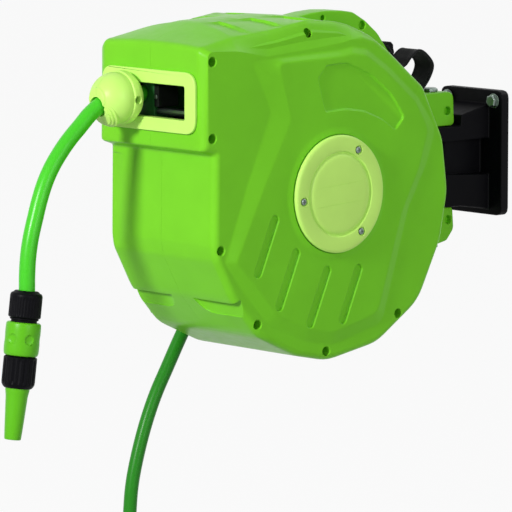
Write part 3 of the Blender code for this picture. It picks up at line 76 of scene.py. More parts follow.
# Half shells: the side face, what stands on it, and the walls.
SIDE_X = 88
PAD_HEIGHT = 4
BOSS_HEIGHT = 1
PAD_X = SIDE_X + PAD_HEIGHT
BOSS_X = PAD_X + BOSS_HEIGHT
WALL = 3
SEAM_GAP = 0.12
EDGE_R = 8.5
EDGE_INSET = 7
WEB_HALF = 15
WEB_ROUND = 1.6
PIN_HOLE_R = 6.3
PIN_HOLE_Z = (-100, 110)

# Screw wells, and the cups inside the case that hold them.
WELL_R = 5.2
WELL_DEPTH = 16
WEB_WELL_DEPTH = 7
WELL_FLARE = 1.2
CUP_WALL = 0.5
CUP_FLOOR = 1.2
CUP_LAP = 0.8
# Above this height the top slopes and the cup starts deeper.
SLOPE_Z = 170
SLOPE_CUP_DEPTH = 8

# Window, bezel and the ball that stops at it.
WINDOW_HALF_X = 60
WINDOW_Z0 = 90.6
WINDOW_Z1 = 127.4
WINDOW_ROUND = 2.6
WINDOW_DEPTH = 18
BEZEL_HALF_X = 77
BEZEL_Z0 = 76
BEZEL_Z1 = 142.5
BEZEL_ROUND = 17
BEZEL_PROUD = 3.7
BEZEL_LIP = 2.5
FRONT_Y = -190
BALL_R = 29.3
BALL_Y = -213.5
BALL_Z = 110.3
NOSE_DROP = 3.2
BALL_SCREW_AT = (7.5, -1)
BALL_SCREW_X = 17
BALL_SCREW_HEAD_R = 3.2
GUIDE_X = -30

# Below the window block the front stands back. The left half's falls back a little more towards the side.
LOWER_FRONT_Y = FRONT_Y + 13.5
BLOCK_FOOT_Z = 44
FRONT_FALL_X = (40, 82)
FRONT_FALL = 4
INSIDE_FALL_Z = (-70, 52)

# Pockets low on the front: where their sharp top edge starts on the slope, the way down the slope, their
# inner end, height and depth, and (distance from the inner end, share of the full size there).
POCKET_TOP = (-144.6, -108.6)
POCKET_WAY = (0.645, -0.764)
POCKET_X = 18
POCKET_TALL = 22
POCKET_DEEP = 7.5
POCKET_RINGS = ((0, 0.02), (1.5, 0.3), (4, 0.55), (8, 0.78), (14, 0.94), (22, 1), (76, 1))

# Shallow steps along the top: where they start, their length and depth, where they begin and fade across the
# top, and the heights between which they come in.
TOP_STEPS = (-112, -64.5, -16.5)
TOP_STEP_PITCH = 48
TOP_STEP_LEAD = TOP_STEP_PITCH * 0.55
TOP_STEP_DEEP = 2.8
TOP_BAND_X = (22, 25)
TOP_FADE_X = (60, 79)
TOP_STEP_Z = (140, 160)

# Hub.
CAP_R = 65
CAP_THICK = 4.7
CAP_DISC_R = 45
CAP_SCREW_R = 54
CAP_SCREWS = (("upper", 60), ("front", 185), ("lower", 306))
CAP_SCREW_HEAD_R = 3.9
MOULD_LINE_Z = 10.5
MOULD_LINE_HALF = 0.3
MOULD_LINE_TILT = 4
GROOVE_R = (CAP_R - 1, CAP_R + 0.9)
GROOVE_X = (SIDE_X + 2, SIDE_X + 9)
AXLE_R = 12
SPIGOT_R = 9
HUB_GAP = 1

# Drum and winding. The wound hose lies slightly flattened, so the turns clear each other.
DRUM_HALF = 57
CORE_R = 60
HOSE_D = 17.7
HOSE_HOLE_R = HOSE_D / 2 + CLEAR
WIND_PITCH = 18.2
WIND_TURNS = 5
WIND_R = 114
WIND_D = 17.2

# Ears, by their heights above the hub axis.
EAR_BACK_Y = 252
EAR_HIGH = (53, 92)
EAR_LOW = (-79, -41)

# Delivery end.
NUT_R = 17.5
NUT_LONG = 29
BODY_R = 14
COLLAR_R = 19
COLLAR_LONG = 36
COLLAR_TRAVEL = 2.5
COLLAR_DIMPLES = 6
GRIP_R = 18
GRIP_LONG = 35
NOZZLE_R0 = 12.5
NOZZLE_R1 = 9
NOZZLE_LONG = 54.5
END_TOP = (-338.9, -89)
END_TIP = (-360.1, -247.8)

# Places down the delivery end's axis, from its top.
BODY_TOP = NUT_LONG + CLEAR
COLLAR_TOP = BODY_TOP + 2 + COLLAR_TRAVEL
COLLAR_END = COLLAR_TOP + COLLAR_LONG
GRIP_TOP = COLLAR_END + 0.6
GRIP_END = GRIP_TOP + GRIP_LONG
BARREL_TOP = GRIP_END + 0.5
BARREL_END = BARREL_TOP + NOZZLE_LONG

# Water inlet and lead-in hose.
LEAD_D = 15.3
LEAD_X = -117
ELBOW_R = 10.5
ELBOW_BEND_R = 14
SLEEVE_TOP_Z = -45.6
SLEEVE_LONG = 36
SLEEVE_RIBS = 7
COIL_R = 80
COIL_TURNS = 3
COIL_PITCH = 16.2
COIL_SIDES = 24
COIL_SIDESTEP = 14
TIE_THICK = 2.4
TIE_HALF = 4
TIE_CORNER = 5
TAP_RIBS = 15
TAP_RIB_DEEP = 1.1
# Where the tap connector's ribs are, down from its top.
TAP_RIB_AT = (22.5, 38.5)

# Corners of the side outline at the seam, from the window block's foot round the bottom, the back and the
# chord below the handle: (y, z, radius).
OUTLINE = [
    (-190, 58.5, 3.5), (-174, 53, 5), (-175.5, -45, 22), (-172.5, -61, 24), (-148, -106.5, 50),
    (-110, -149.5, 50), (-52, -176, 50), (-6, -185.5, 60), (68, -172.5, 60), (131, -131.5, 60),
    (165, -65, 60), (176, -10, 60), (168, 50, 50), (137, 110, 14), (85, 152, 30), (53, 173.5, 30),
]
# The top and the window block's brow fall away from the seam: corners at the seam, at the top edge of the
# side and on the side face.
TOP_EDGE_X = 78
TOP_SEAM = [(28, 185.5), (8, 190.5), (-31, 193.5), (-87, 193), (-132, 191), (-190, 172)]
TOP_EDGE = [(28, 184), (10, 188), (-31, 191.5), (-87, 182.5), (-144, 177.5), (-190, 169.5)]
TOP_FACE = [(26, 168), (8, 165), (-40, 160.5), (-101, 156), (-141, 164), (-184.5, 165.5)]
TOP_RADII = [6, 8, 12, 14, 22, 8]

# How finely the shells are made: points round a ring, rings on the side face, and where the rings stand from
# the seam outwards. The rounded edge's own rings follow these.
AROUND = 640
SIDE_RINGS = 130
SHELL_X = (-1, 6, *TOP_BAND_X, 35, 46, 56, 64, 70, 74)
EDGE_RINGS = 13

# The inside: its rings, its share at the side, where it stays away from the pockets, and its lower top.
INSIDE_X = (-1, 30, 60, TOP_EDGE_X)
INSIDE_SHARE = 0.97
BEHIND_POCKETS_Y = -126
BEHIND_POCKETS_Z = (-135, -60)
BEHIND_POCKETS_SHARE = 0.93
INSIDE_TOP_Z = 146
INSIDE_TOP_DROP = TOP_STEP_DEEP + 1.5

# Raised pad on each side: foot and top corners with their radii. Between them its diagonal front edge is a
# wide slope.
PAD_FOOT = [
    (-161, -64, 4), (-128.5, 18, 30), (-93.5, 95, 10), (-122, 152, 6), (6, 157, 10), (26, 160, 8),
    (48, 157, 16), (80, 136, 16), (126, 99, 16), (154, 62, 20), (139, 22, 30), (112, -24, 30),
    (72, -150, 20), (-5, -168, 30), (-47, -159, 30), (-99, -136, 30), (-133, -99, 20),
]
PAD_TOP = [
    (-147, -64, 4), (-106, 17, 30), (-67.5, 86, 10), (-86, 148, 6), (6, 150, 10), (23, 152, 8), (44, 149, 16),
    (75, 129, 16), (119, 93, 16), (138, 62, 20), (124, 20, 30), (98, -28, 30), (62, -137, 20), (-5, -153, 30),
    (-43, -145, 30), (-91, -124, 30), (-119, -92, 20),
]
# Bare recess above the hub.
RECESS = [
    (-28, 128, 6), (-15, 142, 6), (14, 143.5, 30), (50, 129, 40), (82, 105, 40), (102, 78, 7), (88, 64, 6),
    (69, 77, 40), (41, 88, 40), (14, 92, 30), (-17, 91, 4),
]
RECESS_DEEP = 2.4
SLOTS = [((-89, -17), (-118, -83)), ((-58, -56), (-87, -122)), ((-12, -79), (-41.5, -145)),
         ((35, -81), (7, -145))]
SLOT_WIDE = 11.5
SLOT_DEEP = 3

# Web on the seam: carry handle, spine and ears.
WEB = [
    (0, 172, 2), (12, 189.5, 4), (32, 192.5, 20), (55, 194, 20), (78, 193, 20), (95, 190.5, 20),
    (114, 180, 30), (133, 165, 30), (146, 148.5, 20), (192, 92, 8), (EAR_BACK_Y, EAR_HIGH[1], 10),
    (EAR_BACK_Y + 2, EAR_HIGH[0], 6), (205, EAR_HIGH[0], 6), (205, EAR_LOW[1], 6),
    (EAR_BACK_Y, EAR_LOW[1], 5), (EAR_BACK_Y + 2, -66, 10), (243, EAR_LOW[0], 8), (165, -95, 20),
    (130, -100, 10), (100, -60, 5), (100, 60, 5),
]
FINGER_GAP = [(54, 171, 2), (66, 173.5, 6), (92, 168.5, 14), (113, 157, 20), (131, 139, 8), (137, 118, 5),
              (131, 115, 3), (85, 152.3, 10)]
CASE_WELLS = [(-178, 154.5), (-178, 72), (-166, -50), (-113, -135), (-12, -174), (97, -142), (-36, 178)]
# Wells in the web: (y, z, radius).
WEB_WELLS = [(109, 175, 5), (49, 186, 3.2), (243, 70, 5), (245, -55, 5)]

# Strap on the spine: centre line from its anchor to its back foot.
STRAP = [(148.5, 149.8), (170, 124.6), (177, 126.5), (186, 135), (199, 142), (213, 134), (220, 124),
         (216, 112), (203, 97.5), (193.5, 94.6)]
STRAP_THICK = 2.4
STRAP_HALF = 15.5
STITCH_INSET = 2.9

# Routes of the hoses, (y, z) from the hub axis.
MOUTH = (-237, 103.5)
MOUTH_WAY = (-0.855, -0.519)
DELIVERY = [(-251.5, 94), (-264.8, 82.2), (-279.6, 69.2), (-292.6, 55.4), (-304.2, 40.6), (-313.4, 24.8),
            (-321.2, 6), (-327.5, -13.4), (-333.2, -32.6), (-336.9, -51.9), (-338.6, -72), END_TOP]
LEAD = [(0, -88), (-2, -104), (-10, -122), (-25, -146), (-43, -171), (-67, -210), (-84, -238.5), (-99, -271),
        (-111.5, -307), (-119, -337), (-122.5, -368.5), (-124, -410), (-124, -455)]
COIL_ENTRY_Z = -500

# Kept solids: the width in millimetres that their sharp edges are rounded by.
EDGE_ROUND = {"wall_bracket": 1.4, "strap_anchor": 0.9, "swivel_pin": 0.4, "guide_carriage": 0.9,
              "carriage_bracket": 0.5, "wall_bolt_left": 0.35, "wall_bolt_right": 0.35}

# The photograph's view: the camera's turn and rise in degrees, its lens, and its place in metres.
CAMERA_TURN = 48.2
CAMERA_RISE = 7.3
CAMERA_LENS = 323.4
CAMERA_PLACE = (3.7678, -3.7129, 0.5530)

# Light: the world's strength, and the lamps' name, place and aim in metres, size and power.
AMBIENT = 0.24
LAMPS = [
    ("key", (0.50, -4.07, 1.42), (0.0, -0.35, 0.0), 0.7, 136),
    ("fill", (3.6, -0.9, 0.9), (0.0, -0.35, 0.0), 2.0, 36),
    ("back", (0.8, 2.6, 2.2), (0.0, -0.3, 0.0), 2.0, 32),
]
FLOOR_BELOW = 12
FLOOR_REACH = 40000
FLOOR_GREY = (0.45, 0.45, 0.45, 1.0)
FLOOR_GLOW = 0.93

# Colours are what the photo shows in even light, in linear values.
LEAF = (0.180, 0.600, 0.020)
PALE_LIME = (0.560, 0.910, 0.175)
HOSE_GREEN = (0.058, 0.560, 0.016)
LOOKS = {
    "green_case": dict(colour=LEAF, rough=0.32, gloss=0.12, grain=0.01),
    "lime_trim": dict(colour=PALE_LIME, rough=0.38, grain=0.03),
    "black_plastic": dict(colour=(0.002, 0.002, 0.003), rough=0.45, gloss=0.06, grain=0.05, mottle=0.25),
    "dark_green": dict(colour=(0.020, 0.140, 0.030), rough=0.45, mottle=0.1),
    "grey_plastic": dict(colour=(0.030, 0.036, 0.032), rough=0.42, gloss=0.15, mottle=0.06),
    "green_hose": dict(colour=HOSE_GREEN, rough=0.30, grain=0.005, grain_size=2.0, coat=0.04),
    "zinc_steel": dict(colour=(0.200, 0.250, 0.220), rough=0.34, metal=1.0, mottle=0.12),
    "spring_steel": dict(colour=(0.260, 0.280, 0.320), rough=0.34, metal=1.0, mottle=0.15),
    "black_rubber": dict(colour=(0.008, 0.008, 0.008), rough=0.62, gloss=0.15, mottle=0.2),
    "black_webbing": dict(colour=(0.006, 0.006, 0.007), rough=0.78, gloss=0.1, sheen=0.1, mottle=0.2),
    # Pieces of the same kind of plastic that the photo shows darker.
    "end_green": dict(colour=(0.105, 0.450, 0.008), rough=0.32, gloss=0.20),
    # The lead-in hose's green is the hose green darkened: painted shade on the hanging hose.
    "shade_painted_hose_green": dict(colour=(0.020, 0.220, 0.012), rough=0.32, gloss=0.15, grain=0.005, grain_size=2.0),
    # The carriage bracket's grey darkened nearly to black: painted shade inside the case.
    "shade_painted_grey": dict(colour=(0.008, 0.010, 0.008), rough=0.5, gloss=0.1),
}
# The lead-in hose takes the darker copy of the hose green, which paints shade.
OWN_LOOK = {"release_collar": "end_green", "nozzle_barrel": "end_green", "lead_in_hose": "shade_painted_hose_green",
            # The carriage bracket takes the darkened grey, which paints the shade inside the case.
            "carriage_bracket": "shade_painted_grey"}
WEBBING_THREAD = 1.3
# Sizes in millimetres over which colour and gloss vary.
MOTTLE_SIZE = 60.0
GLOSS_SIZE = 9.0


def hub_point(x, y, z):
    """A point in the case's frame, from its distance to the hub axis."""
    return (x, y + HUB_Y, z + HUB_Z)


def unit(vector):
    return vector / np.linalg.norm(vector)


def offsets(first, second, pairs):
    """Points given by how far they are from one pair of values."""
    return [(first + a, second + b) for a, b in pairs]


def evenly(start, end, count):
    return [start + (end - start) * n / count for n in range(count + 1)]


def eased(value, limits=(0, 1)):
    """0 below the limits, 1 above them, and a soft rise between."""
    t = np.clip((value - limits[0]) / (limits[1] - limits[0]), 0.0, 1.0)
    return t * t * (3 - 2 * t)


def new_object(name, data):
    obj = bpy.data.objects.new(name, data)
    bpy.context.scene.collection.objects.link(obj)
    return obj


def solid(name, points, faces):
    """A closed mesh from points in millimetres."""
    mesh = bpy.data.meshes.new(name)
    mesh.from_pydata([tuple(np.array(p, float) * MM) for p in points], [], faces)
    shape = bmesh.new()
    shape.from_mesh(mesh)
    bmesh.ops.recalc_face_normals(shape, faces=shape.faces)
    shape.to_mesh(mesh)
    shape.free()
    return new_object(name, mesh)


def through_rings(name, rings, closed=False):
    """Skins matched rings of points; the ends are capped, or joined to each other when closed."""
    count = len(rings[0])
    points = [p for ring in rings for p in ring]
    faces = []
    for i in range(len(rings) if closed else len(rings) - 1):
        a, b = i * count, (i + 1) % len(rings) * count
        faces += [(a + j, a + (j + 1) % count, b + (j + 1) % count, b + j) for j in range(count)]
    if not closed:
        faces += [tuple(range(count)), tuple(reversed(range(len(points) - count, len(points))))]
    return solid(name, points, faces)


def join(name, pieces):
    """One object from several whose bodies stay separate."""
    shape = bmesh.new()
    for piece in pieces:
        shape.from_mesh(piece.data)
        bpy.data.objects.remove(piece, do_unlink=True)
    mesh = bpy.data.meshes.new(name)
    shape.to_mesh(mesh)
    shape.free()
    return new_object(name, mesh)


def settle(obj):
    """Applies the object's modifiers."""
    bpy.context.view_layer.update()
    obj.data = bpy.data.meshes.new_from_object(obj.evaluated_get(bpy.context.evaluated_depsgraph_get()))
    obj.modifiers.clear()
    return obj


def boolean(obj, tool, operation):
    """Applies a Boolean to the object and removes the tool."""
    step = obj.modifiers.new(operation.lower(), "BOOLEAN")
    step.operation = operation
    step.object = tool
    step.solver = "MANIFOLD"
    settle(obj)
    bpy.data.objects.remove(tool, do_unlink=True)


def carve(obj, *tools):
    """Cuts tools that don't meet each other in one step."""
    boolean(obj, join("tools", tools), "DIFFERENCE")


def fuse(obj, tool):
    boolean(obj, tool, "UNION")


def soften(obj, width, segments=3, angle=30.0):
    """Rounds the object's sharp edges."""
    step = obj.modifiers.new("round", "BEVEL")
    step.width = width * MM
    step.segments = segments
    step.limit_method = "ANGLE"
    step.angle_limit = math.radians(angle)
    step.use_clamp_overlap = False
    return obj


def along(axis, a, b, s):
    """The point whose two cross coordinates are a and b and whose place along the axis is s."""
    i, j, k = {"X": (1, 2, 0), "Y": (0, 2, 1), "Z": (0, 1, 2)}[axis]
    point = [0.0, 0.0, 0.0]
    point[i], point[j], point[k] = a, b, s
    return tuple(point)


def prism(name, outline, axis, start, end, hub=False):
    """An outline swept along an axis; hub shifts a side outline to the hub axis."""
    shift = (HUB_Y, HUB_Z) if hub else (0.0, 0.0)
    rings = [[along(axis, a + shift[0], b + shift[1], s) for a, b in outline] for s in (start, end)]
    return through_rings(name, rings)


def turned(name, profile, axis, centre, sides=64, bore=False):
    """A profile of (radius, place) points turned round an axis through the centre."""
    angles = [2 * math.pi * n / sides for n in range(sides)]
    rings = [[along(axis, centre[0] + radius * math.cos(angle), centre[1] + radius * math.sin(angle), s)
              for angle in angles] for radius, s in profile]
    return through_rings(name, rings, closed=bore)


def rectangle(a, b):
    """Corners of a rectangle between two pairs of limits."""
    return [(a[0], b[0]), (a[1], b[0]), (a[1], b[1]), (a[0], b[1])]


def box(name, x, y, z):
    """A box in the case's frame; y and z are measured from the hub axis."""
    return prism(name, rectangle(x, (y[0] + HUB_Y, y[1] + HUB_Y)), "Z", z[0] + HUB_Z, z[1] + HUB_Z)


def corner_edges(corners):
    """Each corner's place, with the edge that runs into it and the one that runs out of it."""
    places = [np.array(corner[:2], float) for corner in corners]
    for n, here in enumerate(places):
        yield here, here - places[n - 1], places[(n + 1) % len(places)] - here


def arc_steps(corners, step=9.0):
    """How many segments each corner's arc takes, from its turn."""
    steps = []
    for _, before, after in corner_edges(corners):
        turn = abs(math.degrees(math.atan2(before[0] * after[1] - before[1] * after[0], before @ after)))
        steps.append(max(1, math.ceil(turn / step)))
    return steps


def rounded(corners, steps=None):
    """The outline of a polygon of (a, b, radius) corners, each rounded as far as its edges allow."""
    # An arc takes at most this share of an edge.
    most = 0.48
    points = []
    for corner, count, edges in zip(corners, steps or arc_steps(corners), corner_edges(corners)):
        here, before, after = edges
        half = math.acos(max(-1.0, min(1.0, float(-unit(before) @ unit(after))))) / 2
        reach = min(corner[2] / math.tan(half), most * np.linalg.norm(before), most * np.linalg.norm(after))
        start, end = here - unit(before) * reach, here + unit(after) * reach
        for i in range(count + 1):
            t = i / count
            # A quadratic through the corner stays within the arc's own tangents.
            points.append(tuple((1 - t) ** 2 * start + 2 * t * (1 - t) * here + t * t * end))
    return points


def round_rectangle(a, b, radius, steps):
    return rounded([(*corner, radius) for corner in rectangle(a, b)], [steps] * 4)


def inset(corners, distance):
    """Corners moved in along their mitres; a corner's fourth number scales its share."""
    area = sum(a[0] * b[1] - b[0] * a[1] for a, b in zip(corners, corners[1:] + corners[:1]))
    side = 1.0 if area > 0 else -1.0
    # A sharp corner's mitre is kept short by this.
    least = 0.35
    moved = []
    for corner, (here, before, after) in zip(corners, corner_edges(corners)):
        back, fore = unit(before), unit(after)
        normal = side * (np.array([-back[1], back[0]]) + np.array([-fore[1], fore[0]])) / 2
        mitre = normal / max(float(normal @ normal), least)
        share = corner[3] if len(corner) > 3 else 1.0
        moved.append((*(here + mitre * distance * share), corner[2], share))
    return moved


def blend(a, b, t):
    return tuple(np.array(a) + (np.array(b) - np.array(a)) * t)


def section(x, edge, wall):
    """The case's corners at a distance from the seam: edge is the side's rounding, wall the shell's wall."""
    top = []
    for n, radius in enumerate(TOP_RADII):
        if x <= TOP_EDGE_X:
            place = blend(TOP_SEAM[n], TOP_EDGE[n], (x / TOP_EDGE_X) ** 2)
        else:
            place = blend(TOP_EDGE[n], TOP_FACE[n], (x - TOP_EDGE_X) / (SIDE_X - TOP_EDGE_X))
        # The edge's rounding leaves the top where it is.
        top.append((*place, radius, 0.0))
    corners = [c[:3] for c in inset(OUTLINE + top, edge)]
    return [c[:3] for c in inset(corners, wall)] if wall else corners


def run_along(points, power=1):
    """How far each point is from the first, along the line through them."""
    steps = np.linalg.norm(np.diff(points, axis=0), axis=1) ** power
    return np.concatenate([[0], np.cumsum(steps)])


def smooth(points, step):
    """Points about a step apart on a centripetal curve through the given ones."""
    points = np.array(points, float)
    points = np.vstack([2 * points[0] - points[1], points, 2 * points[-1] - points[-2]])
    fine = []
    for n in range(1, len(points) - 2):
        p = points[n - 1:n + 3]
        k = run_along(p, 0.5)
        for t in np.linspace(k[1], k[2], 24, endpoint=False):
            a = [p[i] + (p[i + 1] - p[i]) * (t - k[i]) / (k[i + 1] - k[i]) for i in range(3)]
            b = [a[i] + (a[i + 1] - a[i]) * (t - k[i]) / (k[i + 2] - k[i]) for i in range(2)]
            fine.append(b[0] + (b[1] - b[0]) * (t - k[1]) / (k[2] - k[1]))
    fine = np.array(fine + [points[-2]])
    run = run_along(fine)
    places = np.linspace(0, run[-1], max(2, round(run[-1] / step)) + 1)
    return np.stack([np.interp(places, run, fine[:, i]) for i in range(3)], axis=1)


def sweep(name, points, radii, sides=48):
    """A tube through points with a radius at each; repeat a point to step the radius there."""
    points = np.array(points, float)
    normal = None
    rings = []
    for n, place in enumerate(points):
        away = np.flatnonzero(np.linalg.norm(points - place, axis=1) > 1e-6)
        back = points[max(away[away < n], default=n)]
        fore = points[min(away[away > n], default=n)]
        way = unit(fore - back)
        if normal is None:
            normal = np.cross(way, [1.0, 0.0, 0.0] if abs(way[0]) < 0.9 else [0.0, 1.0, 0.0])
        normal = unit(normal - way * (normal @ way))
        other = np.cross(way, normal)
        rings.append([
            place + radii[n] * (math.cos(a) * normal + math.sin(a) * other)
            for a in (2 * math.pi * i / sides for i in range(sides))
        ])
    return through_rings(name, rings)


def shade(obj, angle):
    obj.data.shade_smooth()
    obj.data.set_sharp_from_angle(angle=math.radians(angle))


def stand_in(obj, *nodes, angle=32.0, body=None, slot=None):
    """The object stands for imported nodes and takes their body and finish."""
    obj.name = f"{nodes[0]}_look" if nodes else obj.name
    slot = slot or SLOT_OF[nodes[0]]
    if obj.type == "MESH":
        shade(obj, angle)
    obj.data.materials.clear()
    obj.data.materials.append(FINISH[OWN_LOOK.get(nodes[0], slot) if nodes else slot])
    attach(obj, body or BODY_OF[nodes[0]])
    if nodes:
        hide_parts(*nodes)
    return obj


def feed(tree, node, inputs):
    """Sets a node's inputs by name or number; what another node puts out is linked."""
    for key, value in inputs.items():
        if isinstance(value, bpy.types.NodeSocket):
            tree.links.new(value, node.inputs[key])
        else:
            node.inputs[key].default_value = value


def add_node(tree, kind, inputs=None, **settings):
    node = tree.nodes.new(kind)
    for name, value in settings.items():
        setattr(node, name, value)
    feed(tree, node, inputs or {})
    return node


def finish(name, colour, rough, gloss=0.25, metal=0.0, grain=0.02, grain_size=0.8, mottle=0.04, coat=0.0,
           sheen=0.0):
    """A material whose colour and gloss vary a little, with a fine grain; sizes in millimetres."""
    made = bpy.data.materials.new(name)
    made.use_nodes = True
    tree = made.node_tree
    place = add_node(tree, "ShaderNodeTexCoord").outputs["Object"]

    def noise(size, detail):
        inputs = {"Vector": place, "Scale": 1 / (size * MM), "Detail": detail}
        return add_node(tree, "ShaderNodeTexNoise", inputs).outputs["Fac"]

    def ramp(value, low, high):
        inputs = {"Value": value, "From Min": 0.3, "From Max": 0.7, "To Min": low, "To Max": high}
        return add_node(tree, "ShaderNodeMapRange", inputs).outputs["Result"]

    mix = add_node(tree, "ShaderNodeMix", {
        "A": (*(c * (1 - mottle) for c in colour), 1.0),
        "B": (*(min(1.0, c * (1 + mottle)) for c in colour), 1.0),
        "Factor": ramp(noise(MOTTLE_SIZE, 3.0), 0.0, 1.0),
    }, data_type="RGBA")
    bump = add_node(tree, "ShaderNodeBump", {
        "Strength": 0.35, "Distance": grain * MM, "Height": noise(grain_size, 2.0)})
    feed(tree, tree.nodes["Principled BSDF"], {
        "Metallic": metal, "Specular IOR Level": gloss, "Coat Weight": coat, "Coat Roughness": 0.25,
        "Sheen Weight": sheen, "Base Color": mix.outputs["Result"],
        "Roughness": ramp(noise(GLOSS_SIZE, 4.0), rough * 0.88, rough * 1.12),
        "Normal": bump.outputs["Normal"]})
    return made


def weave(made, thread):
    """Adds the crossing threads of a webbing to a finish's bump."""
    tree = made.node_tree
    bump = next(node for node in tree.nodes if node.type == "BUMP")
    place = next(node for node in tree.nodes if node.type == "TEX_COORD").outputs["Object"]
    inputs = {"Vector": place, "Scale": 0.31 / (thread * MM)}
    waves = [add_node(tree, "ShaderNodeTexWave", inputs, bands_direction=way) for way in ("X", "DIAGONAL")]
    cross = add_node(tree, "ShaderNodeMath", {n: wave.outputs["Fac"] for n, wave in enumerate(waves)},
                     operation="MULTIPLY")
    feed(tree, bump, {"Height": cross.outputs["Value"], "Distance": 0.35 * MM})


FINISH = {slot: finish(f"{slot}_finish", **look) for slot, look in LOOKS.items()}
weave(FINISH["black_webbing"], WEBBING_THREAD)


def signed_distance(points, corners):
    """How far points lie inside a polygon; negative outside."""
    near = np.full(len(points), 1e9)
    inside = np.zeros(len(points), bool)
    for a, b in zip(corners, np.roll(corners, -1, axis=0)):
        run = b - a
        t = np.clip(((points - a) @ run) / max(run @ run, 1e-9), 0, 1)
        near = np.minimum(near, np.linalg.norm(points - a - t[:, None] * run, axis=1))
        crosses = (a[1] > points[:, 1]) != (b[1] > points[:, 1])
        rise = run[1] if abs(run[1]) > 1e-12 else 1e-12
        inside ^= crosses & (points[:, 0] < run[0] * (points[:, 1] - a[1]) / rise + a[0])
    return np.where(inside, near, -near)


def side_height(points):
    """How far the moulded side stands out at points (y, z) from the hub axis."""
    steps = arc_steps(PAD_FOOT)
    foot = signed_distance(points, np.array(rounded(PAD_FOOT, steps)))
    top = signed_distance(points, np.array(rounded(PAD_TOP, steps)))
    height = PAD_HEIGHT * np.clip(foot / np.maximum(foot - top, 1e-6), 0, 1) * (foot > 0)
    height = np.where(top > 0, PAD_HEIGHT, height)
    # Round the hub a low boss stands on the pad.
    away = np.hypot(points[:, 0], points[:, 1])
    boss = np.interp(away, [CAP_R + 2, CAP_R + 8, CAP_R + 11], [PAD_HEIGHT + BOSS_HEIGHT, PAD_HEIGHT, 0])
    return np.maximum(height, boss)


def slot_tool(side, start, end):
    """A round-ended slot in the side with a soft rim."""
    start, end = np.array(start, float), np.array(end, float)
    run = unit(end - start)
    normal = np.array((-run[1], run[0]))
    ends = [start + run * SLOT_WIDE / 2, end - run * SLOT_WIDE / 2]
    rim = offsets(PAD_X - SLOT_DEEP, 0, [(0, -1), (0.4, -0.4)])
    rim += offsets(PAD_X, 0, [(-1.3, -0.2), (-0.6, 0.1), (-0.1, 0.7), (0.2, 1.5), (4, 2)])
    rings = []
    for x, grow in rim:
        reach = SLOT_WIDE / 2 - 0.4 + grow
        ring = []
        for centre, way, across in ((ends[1], run, normal), (ends[0], -run, -normal)):
            for turn in np.linspace(-math.pi / 2, math.pi / 2, 13):
                y, z = centre + reach * (math.cos(turn) * way + math.sin(turn) * across)
                ring.append(hub_point(side * x, y, z))
        rings.append(ring)
    return through_rings("slot", rings)


def recess_tool(side):
    """The long bare recess above the hub, with a soft rim."""
    rim = offsets(PAD_X - RECESS_DEEP, 0, [(0, 1.4), (0.5, 0.6)])
    rim += offsets(PAD_X, 0, [(-0.7, 0.1), (-0.1, -0.6), (0.2, -1.4), (4, -1.8)])
    rings = []
    for x, distance in rim:
        outline = rounded(inset(RECESS, distance), arc_steps(RECESS))
        rings.append([hub_point(side * x, y, z) for y, z in outline])
    return through_rings("recess", rings)


def front_pocket(side):
    """A scoop low on the front: sharp along its top, running out below, deeper away from its inner end."""
    top, down = np.array(POCKET_TOP), np.array(POCKET_WAY)
    inward = np.array((-down[1], down[0]))
    outside = inward * 8
    rings = []
    for x, share in POCKET_RINGS:
        deep = top + (inward * POCKET_DEEP + down) * share
        foot = top + down * POCKET_TALL * share
        corners = [(*(top - outside), 0.5), (*deep, 2), (*foot, 0.5), (*(foot - outside), 0.5)]
        rings.append([hub_point(side * (POCKET_X + x), y, z) for y, z in rounded(corners, [1, 5, 1, 1])])
    return through_rings("pocket", rings)


def respaced(rings, guide):
    """The same evenly spaced places, by the guide ring's length, on every ring."""
    run = run_along(np.vstack([guide, guide[:1]]))
    index = np.arange(len(run))
    place = np.interp(np.linspace(0, run[-1], AROUND, endpoint=False), run, index)
    return [np.stack([np.interp(place, index, np.append(ring[:, i], ring[0, i])) for i in range(2)], axis=1)
            for ring in rings]


def top_drop(x, ring):
    """The shallow steps along the top on both sides of its middle band."""
    share = np.zeros(len(ring))
    for step in TOP_STEPS:
        t = (ring[:, 0] - step) / TOP_STEP_PITCH
        share = np.where((t >= 0) & (t < 1), t, share)
    before = (ring[:, 0] - TOP_STEPS[0] + TOP_STEP_LEAD) / TOP_STEP_LEAD
    share = np.where((before > 0) & (before < 1), before, share)
    band = eased(x, TOP_BAND_X) * (1 - eased(x, TOP_FADE_X))
    return TOP_STEP_DEEP * share * band * eased(ring[:, 1], TOP_STEP_Z)


def shell_ring(x, wall=0):
    """The case's outline at a distance from the seam, outside or on the inside of its wall."""
    across = max(0.0, x - (SIDE_X - EDGE_R)) / EDGE_R
    edge = EDGE_INSET * (1 - math.sqrt(max(0.0, 1 - across ** 2)))
    return np.array(rounded(section(max(x, 0.0), edge, wall), arc_steps(section(0, 0, 0))))


def at_x(x, ring):
    """A ring's points (y, z) with their distance from the seam put first."""
    return np.column_stack([np.broadcast_to(x, len(ring)), ring])


def outer_walls(side):
    """Rings of the outer face, from the seam to the rim of the side face."""
    turns = np.linspace(-0.2, math.pi / 2, EDGE_RINGS)
    places = [*SHELL_X, *(TOP_EDGE_X + (SIDE_X - TOP_EDGE_X) * math.sin(turn) for turn in turns)]
    outer = respaced([shell_ring(x) for x in places], shell_ring(SIDE_X))
    walls = np.array([at_x(x, ring - [0, 1] * top_drop(x, ring)[:, None]) for x, ring in zip(places, outer)])
    if side < 0:
        for wall in walls:
            low = wall[:, 2] < BLOCK_FOOT_Z
            fallen = LOWER_FRONT_Y + FRONT_FALL * eased(wall[:, 0], FRONT_FALL_X)
            wall[low, 1] = np.maximum(wall[low, 1], fallen[low])
    # The corners along the top run into the side in a soft curve.
    edge = len(SHELL_X)
    for _ in range(2):
        walls[edge:-1] = (walls[edge - 1:-2] + 2 * walls[edge:-1] + walls[edge + 1:]) / 4
    return walls


